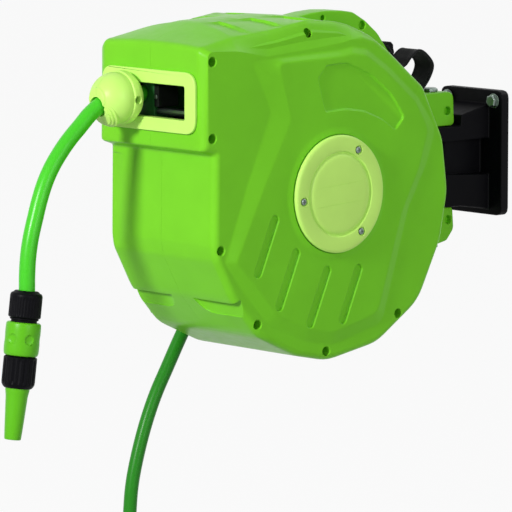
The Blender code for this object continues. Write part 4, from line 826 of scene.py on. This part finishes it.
def side_face(rim, centre):
    """Rings of the side face with its pad and boss, from the rim to the hole at the hub."""
    grid = np.array([rim + (centre - rim) * n / SIDE_RINGS for n in range(1, SIDE_RINGS + 1)])
    height = side_height(grid.reshape(-1, 2)).reshape(grid.shape[:2])
    height[1:-1] = (height[:-2] + 2 * height[1:-1] + height[2:]) / 4
    height = (np.roll(height, 1, axis=1) + 2 * height + np.roll(height, -1, axis=1)) / 4
    return [at_x(SIDE_X + height[n], grid[n]) for n in range(SIDE_RINGS)]


def inside_walls(side, centre):
    """Rings of the plainer inside, from the hole at the hub back to the seam."""
    inner = respaced([shell_ring(x, WALL) for x in INSIDE_X], shell_ring(SIDE_X))
    rings = [at_x(SIDE_X - WALL, inner[-1] * INSIDE_SHARE)]
    rings += [at_x(x, ring) for x, ring in reversed(list(zip(INSIDE_X, inner)))]
    for ring in rings:
        y, z = ring[:, 1], ring[:, 2]
        behind = (y < BEHIND_POCKETS_Y) & (z < BEHIND_POCKETS_Z[1]) & (z > BEHIND_POCKETS_Z[0])
        ring[behind, 1:] *= BEHIND_POCKETS_SHARE
        ring[:, 2] -= np.where(z > INSIDE_TOP_Z, INSIDE_TOP_DROP, 0.0)
        if side < 0:
            low = (z > INSIDE_FALL_Z[0]) & (z < INSIDE_FALL_Z[1])
            ring[low, 1] = np.maximum(ring[low, 1], LOWER_FRONT_Y + FRONT_FALL + WALL)
    return [at_x(SIDE_X - WALL, centre), *rings]


def web_half(side):
    """Half of the web on the seam: carry handle, spine and ears, with the finger gap."""
    web = prism("web", rounded(WEB), "X", side * -2, side * WEB_HALF, hub=True)
    carve(web, prism("gap", rounded(FINGER_GAP), "X", side * -5, side * (WEB_HALF + 1), hub=True))
    return settle(soften(web, WEB_ROUND))


def well_cups(side):
    """Thin walls round the wells inside the case."""
    cups = []
    for y, z in CASE_WELLS:
        start = SLOPE_CUP_DEPTH if z > SLOPE_Z else WALL - CUP_LAP
        ends = [(WELL_R + CUP_WALL, side * (SIDE_X - WELL_DEPTH - CUP_FLOOR)),
                (WELL_R + CUP_WALL, side * (SIDE_X - start))]
        cups.append(turned("cup", ends, "X", (y + HUB_Y, z + HUB_Z), 40))
    return join("cups", cups)


def well_tool(side, y, z, radius, face, depth, flare_depth, clear):
    """A screw well with a flared mouth; face is the distance of its face from the seam."""
    wide = radius + WELL_FLARE
    profile = [(radius, face - depth), (radius, face - flare_depth), (wide, face + 0.4), (wide, face + clear)]
    return turned("well", [(r, side * x) for r, x in profile], "X", (y + HUB_Y, z + HUB_Z), 40)


def window_box(name, lip, y):
    """A box that is wider than the window by a lip, between two depths."""
    return box(name, (-WINDOW_HALF_X - lip, WINDOW_HALF_X + lip), y, (WINDOW_Z0 - lip, WINDOW_Z1 + lip))


def case_shell(name, side):
    """One moulded half: wall, side face and plainer inside, with its web, wells and openings."""
    walls = outer_walls(side)
    rim = walls[-1][:, 1:]
    hole = (AXLE_R if side > 0 else SPIGOT_R) + HUB_GAP
    centre = rim / np.linalg.norm(rim, axis=1)[:, None] * hole
    rings = [*walls, *side_face(rim, centre), *inside_walls(side, centre)]
    rings = [[hub_point(side * x, y, z) for x, y, z in ring] for ring in rings]
    shell = through_rings(name, rings, closed=True)
    fuse(shell, web_half(side))
    fuse(shell, well_cups(side))

    wells = [well_tool(side, y, z, WELL_R, SIDE_X, WELL_DEPTH, 1, 32) for y, z in CASE_WELLS]
    wells += [well_tool(side, *well, WEB_HALF, WEB_WELL_DEPTH, 0.8, 5) for well in WEB_WELLS]
    pin = [(PIN_HOLE_R, HUB_Z + end) for end in PIN_HOLE_Z]
    carve(shell, *wells, turned("pin", pin, "Z", (0.0, PIVOT_Y), 32))
    carve(shell, window_box("window", BEZEL_LIP + CLEAR, (FRONT_Y - 10, FRONT_Y + WINDOW_DEPTH)))
    carve(shell, front_pocket(side))
    carve(shell, *[slot_tool(side, *ends) for ends in SLOTS])
    carve(shell, recess_tool(side))
    if side > 0:
        groove = [(GROOVE_R[1], x) for x in GROOVE_X] + [(GROOVE_R[0], x) for x in reversed(GROOVE_X)]
        carve(shell, turned("groove", groove, "X", (HUB_Y, HUB_Z), 160, bore=True))
    # What lies across the seam is cut off.
    carve(shell, box("seam", sorted((side * -30.0, side * SEAM_GAP / 2)), (-300, 400), (-300, 300)))
    return shell


def cross_screw(name, axis, centre, face, way, head_r, long=7.0):
    """Pan-head screw with a cross recess; way is the side of the face that its head stands on."""
    shank_r, head_tall, slim, depth = 1.3, 1.95, 0.45, 1.3
    dome = [(1, 0.0), (1, 0.5), (0.95, 1.0), (0.8, 1.5), (0.5, 1.85), (0.2, head_tall)]
    profile = [(shank_r, face - way * long), (shank_r, face)]
    profile += [(head_r * share, face + way * s) for share, s in dome]
    screw = turned(name, profile, axis, centre, 48)
    long_half = head_r * 0.58
    a, b = centre
    ends = sorted((face + way * (head_tall - depth), face + way * 3.0))
    for across, up in ((long_half, slim), (slim, long_half)):
        carve(screw, prism("recess", rectangle((a - across, a + across), (b - up, b + up)), axis, *ends))
    return screw


def hub_cap():
    """The cap with a ring groove round its disc, three screws and two faint mould lines."""
    seat = BOSS_X + CLEAR
    top = seat + CAP_THICK
    profile = offsets(CAP_R, seat, [(-0.8, 0), (-0.1, 0.4), (0, 1)])
    profile += offsets(CAP_R, top, [(0, -2.2), (-0.25, -1.5), (-0.9, -0.9), (-2, -0.4), (-3.2, -0.1),
                                    (-4.5, 0)])
    profile += offsets(CAP_DISC_R, top, [
        (3.2, 0), (2.4, -0.2), (1.8, -0.8), (1.4, -1.8), (1, -2.4), (0.3, -2.5), (-0.4, -2.3), (-1.2, -1.5),
        (-2.2, -0.8), (-3.6, -0.3), (-5.5, 0), (-9, 0.2), (-25, 0.3)])
    cap = turned("cap", profile, "X", (HUB_Y, HUB_Z), 160)
    seats = []
    for name, degrees in CAP_SCREWS:
        turn = math.radians(degrees)
        place = (HUB_Y + CAP_SCREW_R * math.cos(turn), HUB_Z + CAP_SCREW_R * math.sin(turn))
        seat_profile = offsets(5, top, [(0, -2), (0, -0.5), (0.6, 0.3), (0.6, 3)])
        seats.append(turned("seat", seat_profile, "X", place, 48))
        screw = cross_screw("screw", "X", place, top - 2.0 + CLEAR, 1, CAP_SCREW_HEAD_R)
        stand_in(screw, f"hub_cap_screw_{name}")
    carve(cap, *seats)
    tilt = math.radians(MOULD_LINE_TILT)
    cos, sin = math.cos(tilt), math.sin(tilt)
    half = CAP_DISC_R - 8
    lines = []
    for height in (-MOULD_LINE_Z, MOULD_LINE_Z):
        corners = rectangle((-half, half), (height - MOULD_LINE_HALF, height + MOULD_LINE_HALF))
        tilted = [(HUB_Y + a * cos - b * sin, HUB_Z + a * sin + b * cos) for a, b in corners]
        lines.append(prism("line", tilted, "X", top + 0.05, top + 3.0))
    carve(cap, *lines)
    stand_in(cap, "hub_cap", angle=28.0)


def inlet_cover():
    """The round cover at the left hub, with a ring groove."""
    face = -(BOSS_X + CLEAR)
    profile = [(SPIGOT_R + 0.6, face)]
    profile += offsets(CAP_DISC_R, face, [(0, 0), (0, -1.8), (-0.4, -2.5), (-1.2, -2.9), (-2.4, -3), (-9, -3),
                                          (-9.6, -2.4), (-11.4, -2.4), (-12, -3)])
    profile += offsets(SPIGOT_R, face, [(1.6, -3), (0.6, -2.4)])
    stand_in(turned("plate", profile, "X", (HUB_Y, HUB_Z), 128, bore=True), "inlet_cover")


def inlet_elbow():
    """Spigot, bend and socket of the water inlet."""
    shoulder = hub_point(-(BOSS_X + CLEAR) - 3.3, 0, 0)
    bend = [hub_point(-(SIDE_X - 3.6), 0, 0), shoulder, shoulder]
    radii = [SPIGOT_R, SPIGOT_R, ELBOW_R]
    for n in range(19):
        angle = math.pi / 2 * n / 18
        bend.append(hub_point(LEAD_X + ELBOW_BEND_R * (1 - math.sin(angle)), 0,
                              -ELBOW_BEND_R * (1 - math.cos(angle))))
        radii.append(ELBOW_R)
    for z, grow in ((-33.4, 0), (-34, 1.9), (-34.6, 2.5), (-44.5, 2.5), (-45.3, 1.8)):
        bend.append(hub_point(LEAD_X, 0, z))
        radii.append(ELBOW_R + grow)
    stand_in(sweep("elbow", bend, radii, 64), "inlet_elbow")


def strain_relief():
    """A ribbed sleeve that thins down over the lead-in hose."""
    top = HUB_Z + SLEEVE_TOP_Z
    bore, wide = LEAD_D / 2 + 0.35, ELBOW_R + 1.2
    profile = [(bore, top), (wide, top)]
    for n in range(SLEEVE_RIBS):
        start = top - 2.0 - n * (SLEEVE_LONG - 3.0) / SLEEVE_RIBS
        reach = wide - (ELBOW_R - LEAD_D / 2 + 0.2) * n / SLEEVE_RIBS
        for s, rise in ((0, 0), (0.5, 0), (2.2, 0), (2.6, 0), (2.9, -0.9), (4.1, -0.9), (4.4, -0.1)):
            profile.append((max(bore + 0.5, reach - 0.25 * s + rise), start - s))
    profile += [(bore + 0.6, top - SLEEVE_LONG), (bore, top - SLEEVE_LONG)]
    stand_in(turned("sleeve", profile, "Z", (LEAD_X, HUB_Y), 64, bore=True), "strain_relief")


def window_bezel():
    """The pale frame with its lip in the window."""
    face = FRONT_Y + HUB_Y
    outline = round_rectangle((-BEZEL_HALF_X, BEZEL_HALF_X), (BEZEL_Z0 + HUB_Z, BEZEL_Z1 + HUB_Z),
                              BEZEL_ROUND, 14)
    bezel = prism("bezel", outline, "Y", face - CLEAR - BEZEL_PROUD, face - CLEAR)
    fuse(bezel, window_box("lip", BEZEL_LIP, (FRONT_Y - 2, FRONT_Y + 7)))
    opening = round_rectangle((-WINDOW_HALF_X, WINDOW_HALF_X), (WINDOW_Z0 + HUB_Z, WINDOW_Z1 + HUB_Z),
                              WINDOW_ROUND, 6)
    carve(bezel, prism("opening", opening, "Y", face - 20, face + 20))
    stand_in(soften(bezel, 1.0, 3, 40.0), "window_bezel")


def ball_profile():
    """(Place, radius) points of the stopper ball from its flat face at the bezel to its outer end."""
    face = FRONT_Y - CLEAR - BEZEL_PROUD - CLEAR - BALL_Y
    profile = offsets(face, 0, [(0, 22), (-0.3, 23.6), (-0.9, 24.4), (-1.8, 24.6), (-3.4, 24.6), (-4.2, 24.2),
                                (-4.6, 23.5), (-5.4, 23.4), (-5.7, 24)])
    profile += offsets(face, BALL_R, [(-6, -2.2), (-6.6, -0.9), (-7.4, -0.2), (-8.4, 0), (-14.6, 0),
                                      (-15.4, -0.2), (-16, -0.7), (-16.3, -1.3)])
    for n in range(1, 25):
        angle = math.radians(4.0 + 58.0 * n / 24)
        profile.append((-BALL_R * math.sin(angle), (BALL_R - 0.8) * math.cos(angle)))
    return profile + [(-27.0, 12.9), (-27.8, 12.3), (-28.1, 11.4)]


def ball_half(name, side):
    """One half of the stopper ball, with its nose round the hose and the hose's channel."""
    way = np.array([0.0, *MOUTH_WAY])
    down = np.array([0.0, way[2], -way[1]])
    nose_at = np.array(hub_point(GUIDE_X, BALL_Y, BALL_Z)) - down * NOSE_DROP
    nose = [(14.0, 19.6), (22.6, 19.6), (23.2, 19.0), (23.5, 16.9), (25.4, 16.8), (25.9, 16.2), (26.1, 14.2),
            (27.5, 14.0), (27.9, 13.2)]
    centre = (GUIDE_X, BALL_Z + HUB_Z)
    half = turned("half", [(r, BALL_Y + HUB_Y + s) for s, r in ball_profile()], "Y", centre, 128)
    fuse(half, sweep("nose", [nose_at + way * s for s, r in nose], [r for s, r in nose], 128))
    mouth = np.array(hub_point(GUIDE_X, *MOUTH))
    inside = HOSE_PATH[HOSE_PATH[:, 1] < FRONT_Y + HUB_Y + 12][:-1]
    channel = np.vstack([inside, [mouth - way * 5, mouth], [mouth + way * 14.0]])
    radii = [HOSE_HOLE_R] * len(inside) + [HOSE_D / 2 + flare for flare in (0.6, 2.0, 3.2)]
    other = sorted((GUIDE_X - side * 50, GUIDE_X + side * CLEAR / 2))
    carve(half, box("half", other, (BALL_Y - 60, BALL_Y + 60), (BALL_Z - 60, BALL_Z + 60)))
    carve(half, sweep("channel", channel, radii, 64))
    if side > 0:
        at = (BALL_Y + BALL_SCREW_AT[0] + HUB_Y, BALL_Z + BALL_SCREW_AT[1] + HUB_Z)
        seat = GUIDE_X + BALL_SCREW_X
        well = [(4.0, seat), (4.0, GUIDE_X + 27.6), (4.6, GUIDE_X + 28.6), (5.4, GUIDE_X + 31.0)]
        carve(half, turned("well", well, "X", at, 48))
        stand_in(cross_screw("screw", "X", at, seat + CLEAR, 1, BALL_SCREW_HEAD_R, 5.0), "stopper_screw")
    stand_in(half, name, angle=40.0)


def end_place(s):
    """The point s millimetres down the delivery end's axis."""
    top, tip = np.array(END_TOP), np.array(END_TIP)
    y, z = top + unit(tip - top) * s
    return hub_point(GUIDE_X, y, z)


def end_piece(name, profile, sides=48):
    """A piece turned round the delivery end's axis, from (place, radius) points."""
    return sweep(name, [end_place(s) for s, r in profile], [r for s, r in profile], sides)


def ribbed_end(name, profile, ribs, depth, start, end, sides=144):
    """A piece of the delivery end with grip ribs between two places on its axis."""
    piece = end_piece(name, profile, sides)
    top = Vector(end_place(0.0)) * MM
    way = (Vector(end_place(1.0)) - Vector(end_place(0.0))).normalized()
    other = way.cross(Vector((1.0, 0.0, 0.0)))
    for vertex in piece.data.vertices:
        off = vertex.co - top
        s = off.dot(way) / MM
        if start <= s <= end and off.length > 0:
            out = off - way * off.dot(way)
            angle = math.atan2(out.dot(other), out.x)
            valley = (0.5 + 0.5 * math.cos(ribs * angle)) ** 2
            fade = float(eased(min(s - start, end - s), (0, 2.5)))
            vertex.co -= out.normalized() * depth * MM * valley * fade
    return piece


def hose_nut():
    profile = [(0, 12.2), (0.5, 13), (2, 14.6), (2.4, 15.8), (3.2, 16.7), (4.4, 17.2)]
    profile += [(s, NUT_R) for s in evenly(5.5, NUT_LONG - 1.2, 16)]
    profile += offsets(NUT_LONG, NUT_R, [(-0.5, -0.4), (0, -1.1)])
    nut = ribbed_end("nut", profile, 32, 0.45, 7, NUT_LONG - 1, 256)
    carve(nut, end_piece("bore", [(-5, HOSE_HOLE_R), (NUT_LONG + 5, HOSE_HOLE_R)]))
    return stand_in(nut, "hose_nut")


def connector_body():
    """The body inside the fitting; its flange shows between the nut and the release collar."""
    spigot = HOSE_HOLE_R - 0.6
    profile = [(21, spigot), (BODY_TOP, spigot)]
    profile += offsets(BODY_TOP, NUT_R, [(0, -2.4), (0.4, -2), (1.6, -2), (2, -2.4)])
    profile += [(BODY_TOP + 2, BODY_R), (COLLAR_END + 1, BODY_R), (COLLAR_END + 1, 12), (COLLAR_END + 9, 12)]
    body = end_piece("body", profile, 72)
    carve(body, end_piece("bore", [(10, 7), (COLLAR_END + 20, 7)]))
    return stand_in(body, "connector_body")


def release_collar():
    """The collar with its six finger dimples."""
    profile = offsets(COLLAR_TOP, COLLAR_R, [(0, -2.4), (0.3, -1.5), (1.2, -0.5), (2.6, -0.2), (8, 0)])
    profile += offsets(COLLAR_END, COLLAR_R, [(-6, 0), (-2.5, -0.4), (-1, -1), (-0.3, -1.6), (0, -2.4)])
    collar = end_piece("collar", profile, 144)
    carve(collar, end_piece("bore", [(COLLAR_TOP - 5, BODY_R + CLEAR), (COLLAR_END + 5, BODY_R + CLEAR)], 64))
    middle = np.array(end_place(COLLAR_TOP + COLLAR_LONG / 2))
    way = np.array(end_place(COLLAR_TOP + COLLAR_LONG / 2 + 1.0)) - middle
    other = np.cross(way, [1.0, 0.0, 0.0])
    bowl = [(-1.5, 3.0), (-1.2, 4.4), (-0.5, 5.4), (0.6, 6.0), (3.0, 7.0)]
    dimples = []
    for n in range(COLLAR_DIMPLES):
        angle = 2 * math.pi * (n + 0.25) / COLLAR_DIMPLES
        out = math.cos(angle) * np.array([1.0, 0.0, 0.0]) + math.sin(angle) * other
        places = [middle + out * (COLLAR_R + s) for s, r in bowl]
        dimples.append(sweep("dimple", places, [r for s, r in bowl], 40))
    carve(collar, *dimples)
    return stand_in(soften(collar, 0.35, 2, 35.0), "release_collar", angle=40.0)


def nozzle_grip():
    profile = offsets(GRIP_TOP, GRIP_R, [(0, -2.2), (0.5, -0.8), (1.5, 0)])
    profile += [(s, GRIP_R) for s in evenly(GRIP_TOP + 2.5, GRIP_END - 8, 16)]
    profile += offsets(GRIP_END, GRIP_R, [(-5, -0.3), (-2.5, -1.6), (-1, -3), (0, -4.5)])
    grip = ribbed_end("grip", profile, 18, 1.1, GRIP_TOP + 2, GRIP_END - 5)
    bore = BODY_R + 0.2 + CLEAR
    carve(grip, end_piece("bore", [(GRIP_TOP - 5, bore), (GRIP_END + 10, bore)]))
    return stand_in(grip, "nozzle_grip")


def nozzle_barrel():
    profile = [(COLLAR_END + 12, 11), (GRIP_END - 12, 11), (GRIP_END - 12, 13.9), (BARREL_TOP, 13.2)]
    profile += offsets(BARREL_TOP, NOZZLE_R0, [(0, 0.5), (1, 0.6), (4, 0)])
    profile += [(BARREL_TOP + s, NOZZLE_R0 - 1.2 * s / 20 - 0.1) for s in (8, 12, 16, 20, 26, 32, 38, 44)]
    profile += offsets(BARREL_END, NOZZLE_R1, [(-3, 0.2), (-1, 0), (-0.3, -0.3), (0, -1)])
    barrel = end_piece("barrel", profile, 96)
    carve(barrel, end_piece("bore", [(COLLAR_END, 5), (BARREL_END - 6, 5), (BARREL_END - 4, 7),
                                     (BARREL_END + 10, 7.6)]))
    return stand_in(barrel, "nozzle_barrel", angle=40.0)


def hose(name, points, diameter):
    """A round hose: an open curve with a fine bevel and closed ends."""
    data = bpy.data.curves.new(name, "CURVE")
    data.dimensions = "3D"
    data.bevel_depth = diameter / 2 * MM
    data.bevel_resolution = 10
    data.use_fill_caps = True
    line = data.splines.new("POLY")
    line.points.add(len(points) - 1)
    for point, place in zip(line.points, points):
        point.co = (*(np.array(place, float) * MM), 1.0)
    return new_object(name, data)


def delivery_hose(fittings):
    """The hose from the ball's mouth to the nut."""
    mouth, way = np.array(MOUTH), np.array(MOUTH_WAY)
    start = [hub_point(GUIDE_X, *(mouth + way * s)) for s in (CLEAR, 8.0)]
    path = smooth([start[1]] + [hub_point(GUIDE_X, y, z) for y, z in DELIVERY], 3.0)
    path = np.vstack([start[:1], path, [end_place(20.0)]])
    cord = stand_in(hose("hose", path, HOSE_D), "delivery_hose")


def coil_points():
    """Turns side by side about X; the last half turn eases away to the connector."""
    centre_y = LEAD[-1][0] + COIL_R
    points = []
    for n in range(COIL_TURNS * COIL_SIDES + 1):
        turn = n / COIL_SIDES
        angle = math.pi + 2 * math.pi * turn
        ease = max(0.0, turn - (COIL_TURNS - 0.5)) / 0.5
        x = LEAD_X + COIL_PITCH * turn + COIL_SIDESTEP * ease * ease
        y, z = centre_y + COIL_R * math.cos(angle), COIL_ENTRY_Z + COIL_R * math.sin(angle)
        points.append(hub_point(x, y, z))
    return points


def coil_tie():
    """The tie round the turns at the coil's back."""
    back = LEAD[-1][0] + 2 * COIL_R + HUB_Y
    reach = LEAD_D / 2 + 0.7
    first, last = (LEAD_X + COIL_PITCH * (n + 0.5) for n in (0, COIL_TURNS - 1))

    def loop(grow):
        across = (first - reach - grow, last + reach + grow)
        deep = (back - reach - 0.2 - grow, back + reach + grow)
        return round_rectangle(across, deep, TIE_CORNER + grow, 10)

    middle = COIL_ENTRY_Z + HUB_Z
    tie = prism("tie", loop(TIE_THICK), "Z", middle - TIE_HALF, middle + TIE_HALF)
    carve(tie, prism("hole", loop(0.0), "Z", middle - 2 * TIE_HALF, middle + 2 * TIE_HALF))
    return stand_in(soften(tie, 0.8), "coil_tie")


def tap_connector(end):
    """The ribbed tap connector on the lead-in hose, hanging from the hose's end."""
    x0, y0, z0 = end
    profile = [(0, 9.2), (0.6, 11.6), (2, 12.5), (15.4, 12.5), (16, 11.8), (16.2, 10), (19, 10), (19.2, 13.6),
               (20, 14.6), (22, 15.5)]
    profile += [(s, 15.5) for s in evenly(23, 38, 12)]
    profile += [(39.4, 15.2), (40, 14.4), (40, 9), (28, 9), (28, 4), (0, 4)]
    piece = turned("connector", [(r, z0 - s) for s, r in profile], "Z", (x0, y0), 120, bore=True)
    for vertex in piece.data.vertices:
        x, y = vertex.co.x - x0 * MM, vertex.co.y - y0 * MM
        s = (z0 * MM - vertex.co.z) / MM
        if TAP_RIB_AT[0] < s < TAP_RIB_AT[1] and math.hypot(x, y) > 12 * MM:
            valley = (0.5 + 0.5 * math.cos(TAP_RIBS * math.atan2(y, x))) ** 2 * TAP_RIB_DEEP * MM
            scale = 1 - valley / math.hypot(x, y)
            vertex.co.x, vertex.co.y = x0 * MM + x * scale, y0 * MM + y * scale
    return stand_in(piece, "lead_in_connector")


def lead_in():
    """The lead-in hose in one piece: the free drop, then the tied coil and its connector."""
    top = hub_point(LEAD_X, 0.0, SLEEVE_TOP_Z)
    coil = [np.array(p) for p in coil_points()]
    entry = coil[0] + [0.0, 0.0, LEAD_D]
    tail = [coil[-1] + [1.2, 0.0, -s] for s in (10.0, LEAD_D * 1.6)]
    path = smooth([top] + [hub_point(LEAD_X, y, z) for y, z in LEAD] + [entry] + coil + tail, 4.0)
    cord = stand_in(hose("hose", path, LEAD_D), "lead_in_hose", "lead_in_coil")
    pieces = [coil_tie(), tap_connector(tail[-1] - [0.0, 0.0, CLEAR])]


def hose_path():
    """The hose from the winding through the carriage and the window to the ball's mouth."""
    mouth, way = np.array([0.0, *MOUTH]), np.array([0.0, *MOUTH_WAY])
    lift_r = WIND_R + (WIND_D + HOSE_D) / 2 + 1.1
    lifted = [[0.0, radius * math.cos(math.radians(turn)), radius * math.sin(math.radians(turn))]
              for radius, turn in ((lift_r, 96.8), (lift_r + 24.9, 129.4))]
    route = lifted + [[0.0, -180.0, 112.6], [0.0, -204.0, 111.5], [0.0, -218.0, 110.6], mouth - way * 6.0]
    route = [hub_point(GUIDE_X, p[1], p[2]) for p in route]
    return np.vstack([smooth(route, 4.0), [hub_point(GUIDE_X, mouth[1], mouth[2])]])


def laid_turns():
    """The outer layer of the wound hose."""
    points = []
    fine = 4 * COIL_SIDES
    for n in range(WIND_TURNS * fine + 1):
        turn = n / fine
        angle = math.radians(100.0) + 2 * math.pi * turn
        x = WIND_PITCH * (turn - WIND_TURNS / 2)
        points.append(hub_point(x, WIND_R * math.cos(angle), WIND_R * math.sin(angle)))
    stand_in(hose("layer", points, WIND_D), "wound_hose_layer")


def turns_below():
    """Below the outer layer the turns show only as grooves."""
    base, ridge, groove = CORE_R + CLEAR, WIND_R - WIND_D / 2 - 1.2, 1.5
    floor_r = ridge - groove
    profile = [(base, -DRUM_HALF + CLEAR), (floor_r, -DRUM_HALF + CLEAR)]
    for n in range(WIND_TURNS + 1):
        start = -DRUM_HALF + 1.5 + n * WIND_PITCH
        profile += [(floor_r + groove * math.sin(math.pi * t / 6), start + WIND_PITCH * t / 6)
                    for t in range(7)]
    profile += [(floor_r, DRUM_HALF - CLEAR), (base, DRUM_HALF - CLEAR)]
    stand_in(turned("core", profile, "X", (HUB_Y, HUB_Z), 96, bore=True), "wound_hose_core")


def strap():
    """Webbing loop with a row of stitches along each edge."""
    path = smooth([(0.0, y, z) for y, z in STRAP], 1.2)
    ways = np.gradient(path, axis=0)
    ways /= np.linalg.norm(ways, axis=1)[:, None]
    out = np.stack([np.zeros(len(path)), -ways[:, 2], ways[:, 1]], axis=1)
    half, thick = STRAP_HALF, STRAP_THICK / 2
    # Half of the cross section from edge to edge: place, and share of the half thickness.
    edge = [(0.0, 0.0), (0.35, 0.8), (1.0, 1.0), (2.6, 0.92), (3.4, 0.72)]
    across = [(-half + s, t) for s, t in edge]
    across += [(x, 0.78) for x in (-8.0, -4.0, 0.0, 4.0, 8.0)]
    across += [(half - s, t) for s, t in reversed(edge)]
    ring = across + [(x, -t) for x, t in across[-2:0:-1]]
    rings = [[place + np.array([x, 0.0, 0.0]) + side * thick * t + hub_point(0, 0, 0) for x, t in ring]
             for place, side in zip(path, out)]
    stand_in(through_rings("webbing", rings), "strap_loop", angle=50.0)
    stitches = []
    for n in range(2, len(path) - 3, 3):
        for x in (-half + STITCH_INSET, half - STITCH_INSET):
            for face in (1, -1):
                start, end = (path[k] + out[k] * face * (thick * 0.82) + [x, 0.0, 0.0] + hub_point(0, 0, 0)
                              for k in (n, n + 2))
                middle = (start + end) / 2 + out[n] * face * 0.12
                stitches.append(sweep("stitch", [start, middle, end], [0.18, 0.34, 0.18], 8))
    stand_in(join("strap_stitches", stitches), body=BODY_OF["strap_loop"], slot="black_webbing")


def dress_kept():
    """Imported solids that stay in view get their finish, and rounded edges where they are near."""
    for node, slot in SLOT_OF.items():
        obj = bpy.data.objects.get(node)
        if obj is None or obj.type != "MESH":
            continue
        look = FINISH[OWN_LOOK.get(node, slot)]
        if not obj.material_slots:
            obj.data.materials.append(look)
        for place in obj.material_slots:
            place.material = look
        if node in EDGE_ROUND:
            weld = obj.modifiers.new("weld", "WELD")
            weld.merge_threshold = 0.00001
            flat = obj.modifiers.new("flat", "DECIMATE")
            flat.decimate_type = "DISSOLVE"
            flat.angle_limit = math.radians(1.0)
            soften(obj, EDGE_ROUND[node], 2)
            obj.modifiers.new("normals", "WEIGHTED_NORMAL").keep_sharp = True


def seen_rays(tree):
    """1 for camera, glossy and transmission rays, 0 for the rays that carry light between surfaces."""
    path = add_node(tree, "ShaderNodeLightPath")
    value = path.outputs["Is Camera Ray"]
    for name in ("Is Glossy Ray", "Is Transmission Ray"):
        higher = add_node(tree, "ShaderNodeMath", {0: value, 1: path.outputs[name]}, operation="MAXIMUM")
        value = higher.outputs["Value"]
    return value


def plain_light():
    """White backdrop, a key that meets the front and grazes the side, and weak fills."""
    world = bpy.data.worlds.new("studio")
    bpy.context.scene.world = world
    world.use_nodes = True
    tree = world.node_tree
    back = tree.nodes["Background"]
    feed(tree, back, {"Color": (0.93, 0.97, 1.0, 1.0), "Strength": AMBIENT})
    white = add_node(tree, "ShaderNodeBackground", {"Color": (1.0, 1.0, 1.0, 1.0)})
    mix = add_node(tree, "ShaderNodeMixShader", {
        "Fac": seen_rays(tree), 1: back.outputs["Background"], 2: white.outputs["Background"]})
    feed(tree, tree.nodes["World Output"], {"Surface": mix.outputs["Shader"]})
    for name, place, aim, size, power in LAMPS:
        data = bpy.data.lights.new(name, "AREA")
        data.shape = "DISK"
        data.size = size
        data.energy = power
        lamp = new_object(name, data)
        lamp.location = place
        lamp.rotation_euler = (Vector(place) - Vector(aim)).to_track_quat("Z", "Y").to_euler()


def floor():
    """A pale floor below the coil that shows white and still takes the object's shadow."""
    level = CAD_BOX[0][2] / MM - FLOOR_BELOW
    side = (-FLOOR_REACH, FLOOR_REACH)
    plane = solid("floor", [(x, y, level) for x, y in rectangle(side, side)], [(0, 1, 2, 3)])
    made = bpy.data.materials.new("floor_finish")
    made.use_nodes = True
    tree = made.node_tree
    shader = tree.nodes["Principled BSDF"]
    feed(tree, shader, {"Base Color": FLOOR_GREY, "Roughness": 0.9})
    glow = add_node(tree, "ShaderNodeEmission")
    share = add_node(tree, "ShaderNodeMath", {0: seen_rays(tree), 1: FLOOR_GLOW}, operation="MULTIPLY")
    mix = add_node(tree, "ShaderNodeMixShader", {
        "Fac": share.outputs["Value"], 1: shader.outputs["BSDF"], 2: glow.outputs["Emission"]})
    feed(tree, tree.nodes["Material Output"], {"Surface": mix.outputs["Shader"]})
    plane.data.materials.append(made)


def camera():
    """The photograph's view: from the front right, slightly above, through a long lens."""
    turn, rise = math.radians(CAMERA_TURN), math.radians(CAMERA_RISE)
    data = bpy.data.cameras.new("camera")
    data.sensor_width = 36.0
    data.lens = CAMERA_LENS
    data.clip_end = 200.0
    right = (math.cos(turn), math.sin(turn), 0.0)
    up = (-math.sin(turn) * math.sin(rise), math.cos(turn) * math.sin(rise), math.cos(rise))
    back = (math.sin(turn) * math.cos(rise), -math.cos(turn) * math.cos(rise), math.sin(rise))
    eye = new_object("camera", data)
    eye.matrix_world = Matrix.Translation(CAMERA_PLACE) @ Matrix((right, up, back)).transposed().to_4x4()
    bpy.context.scene.camera = eye


camera()
plain_light()
floor()
HOSE_PATH = hose_path()
for shell_name, shell_side in (("right_shell", 1), ("left_shell", -1)):
    stand_in(case_shell(shell_name, shell_side), shell_name, angle=30.0)
hub_cap()
inlet_cover()
inlet_elbow()
strain_relief()
window_bezel()
for ball_name, ball_side in (("stopper_left", -1), ("stopper_right", 1)):
    ball_half(ball_name, ball_side)
delivery_hose([hose_nut(), connector_body(), release_collar(), nozzle_grip(), nozzle_barrel()])
lead_in()
stand_in(hose("run", HOSE_PATH, HOSE_D), "hose_run")
laid_turns()
turns_below()
strap()
dress_kept()

bpy.context.scene.view_settings.view_transform = "Standard"
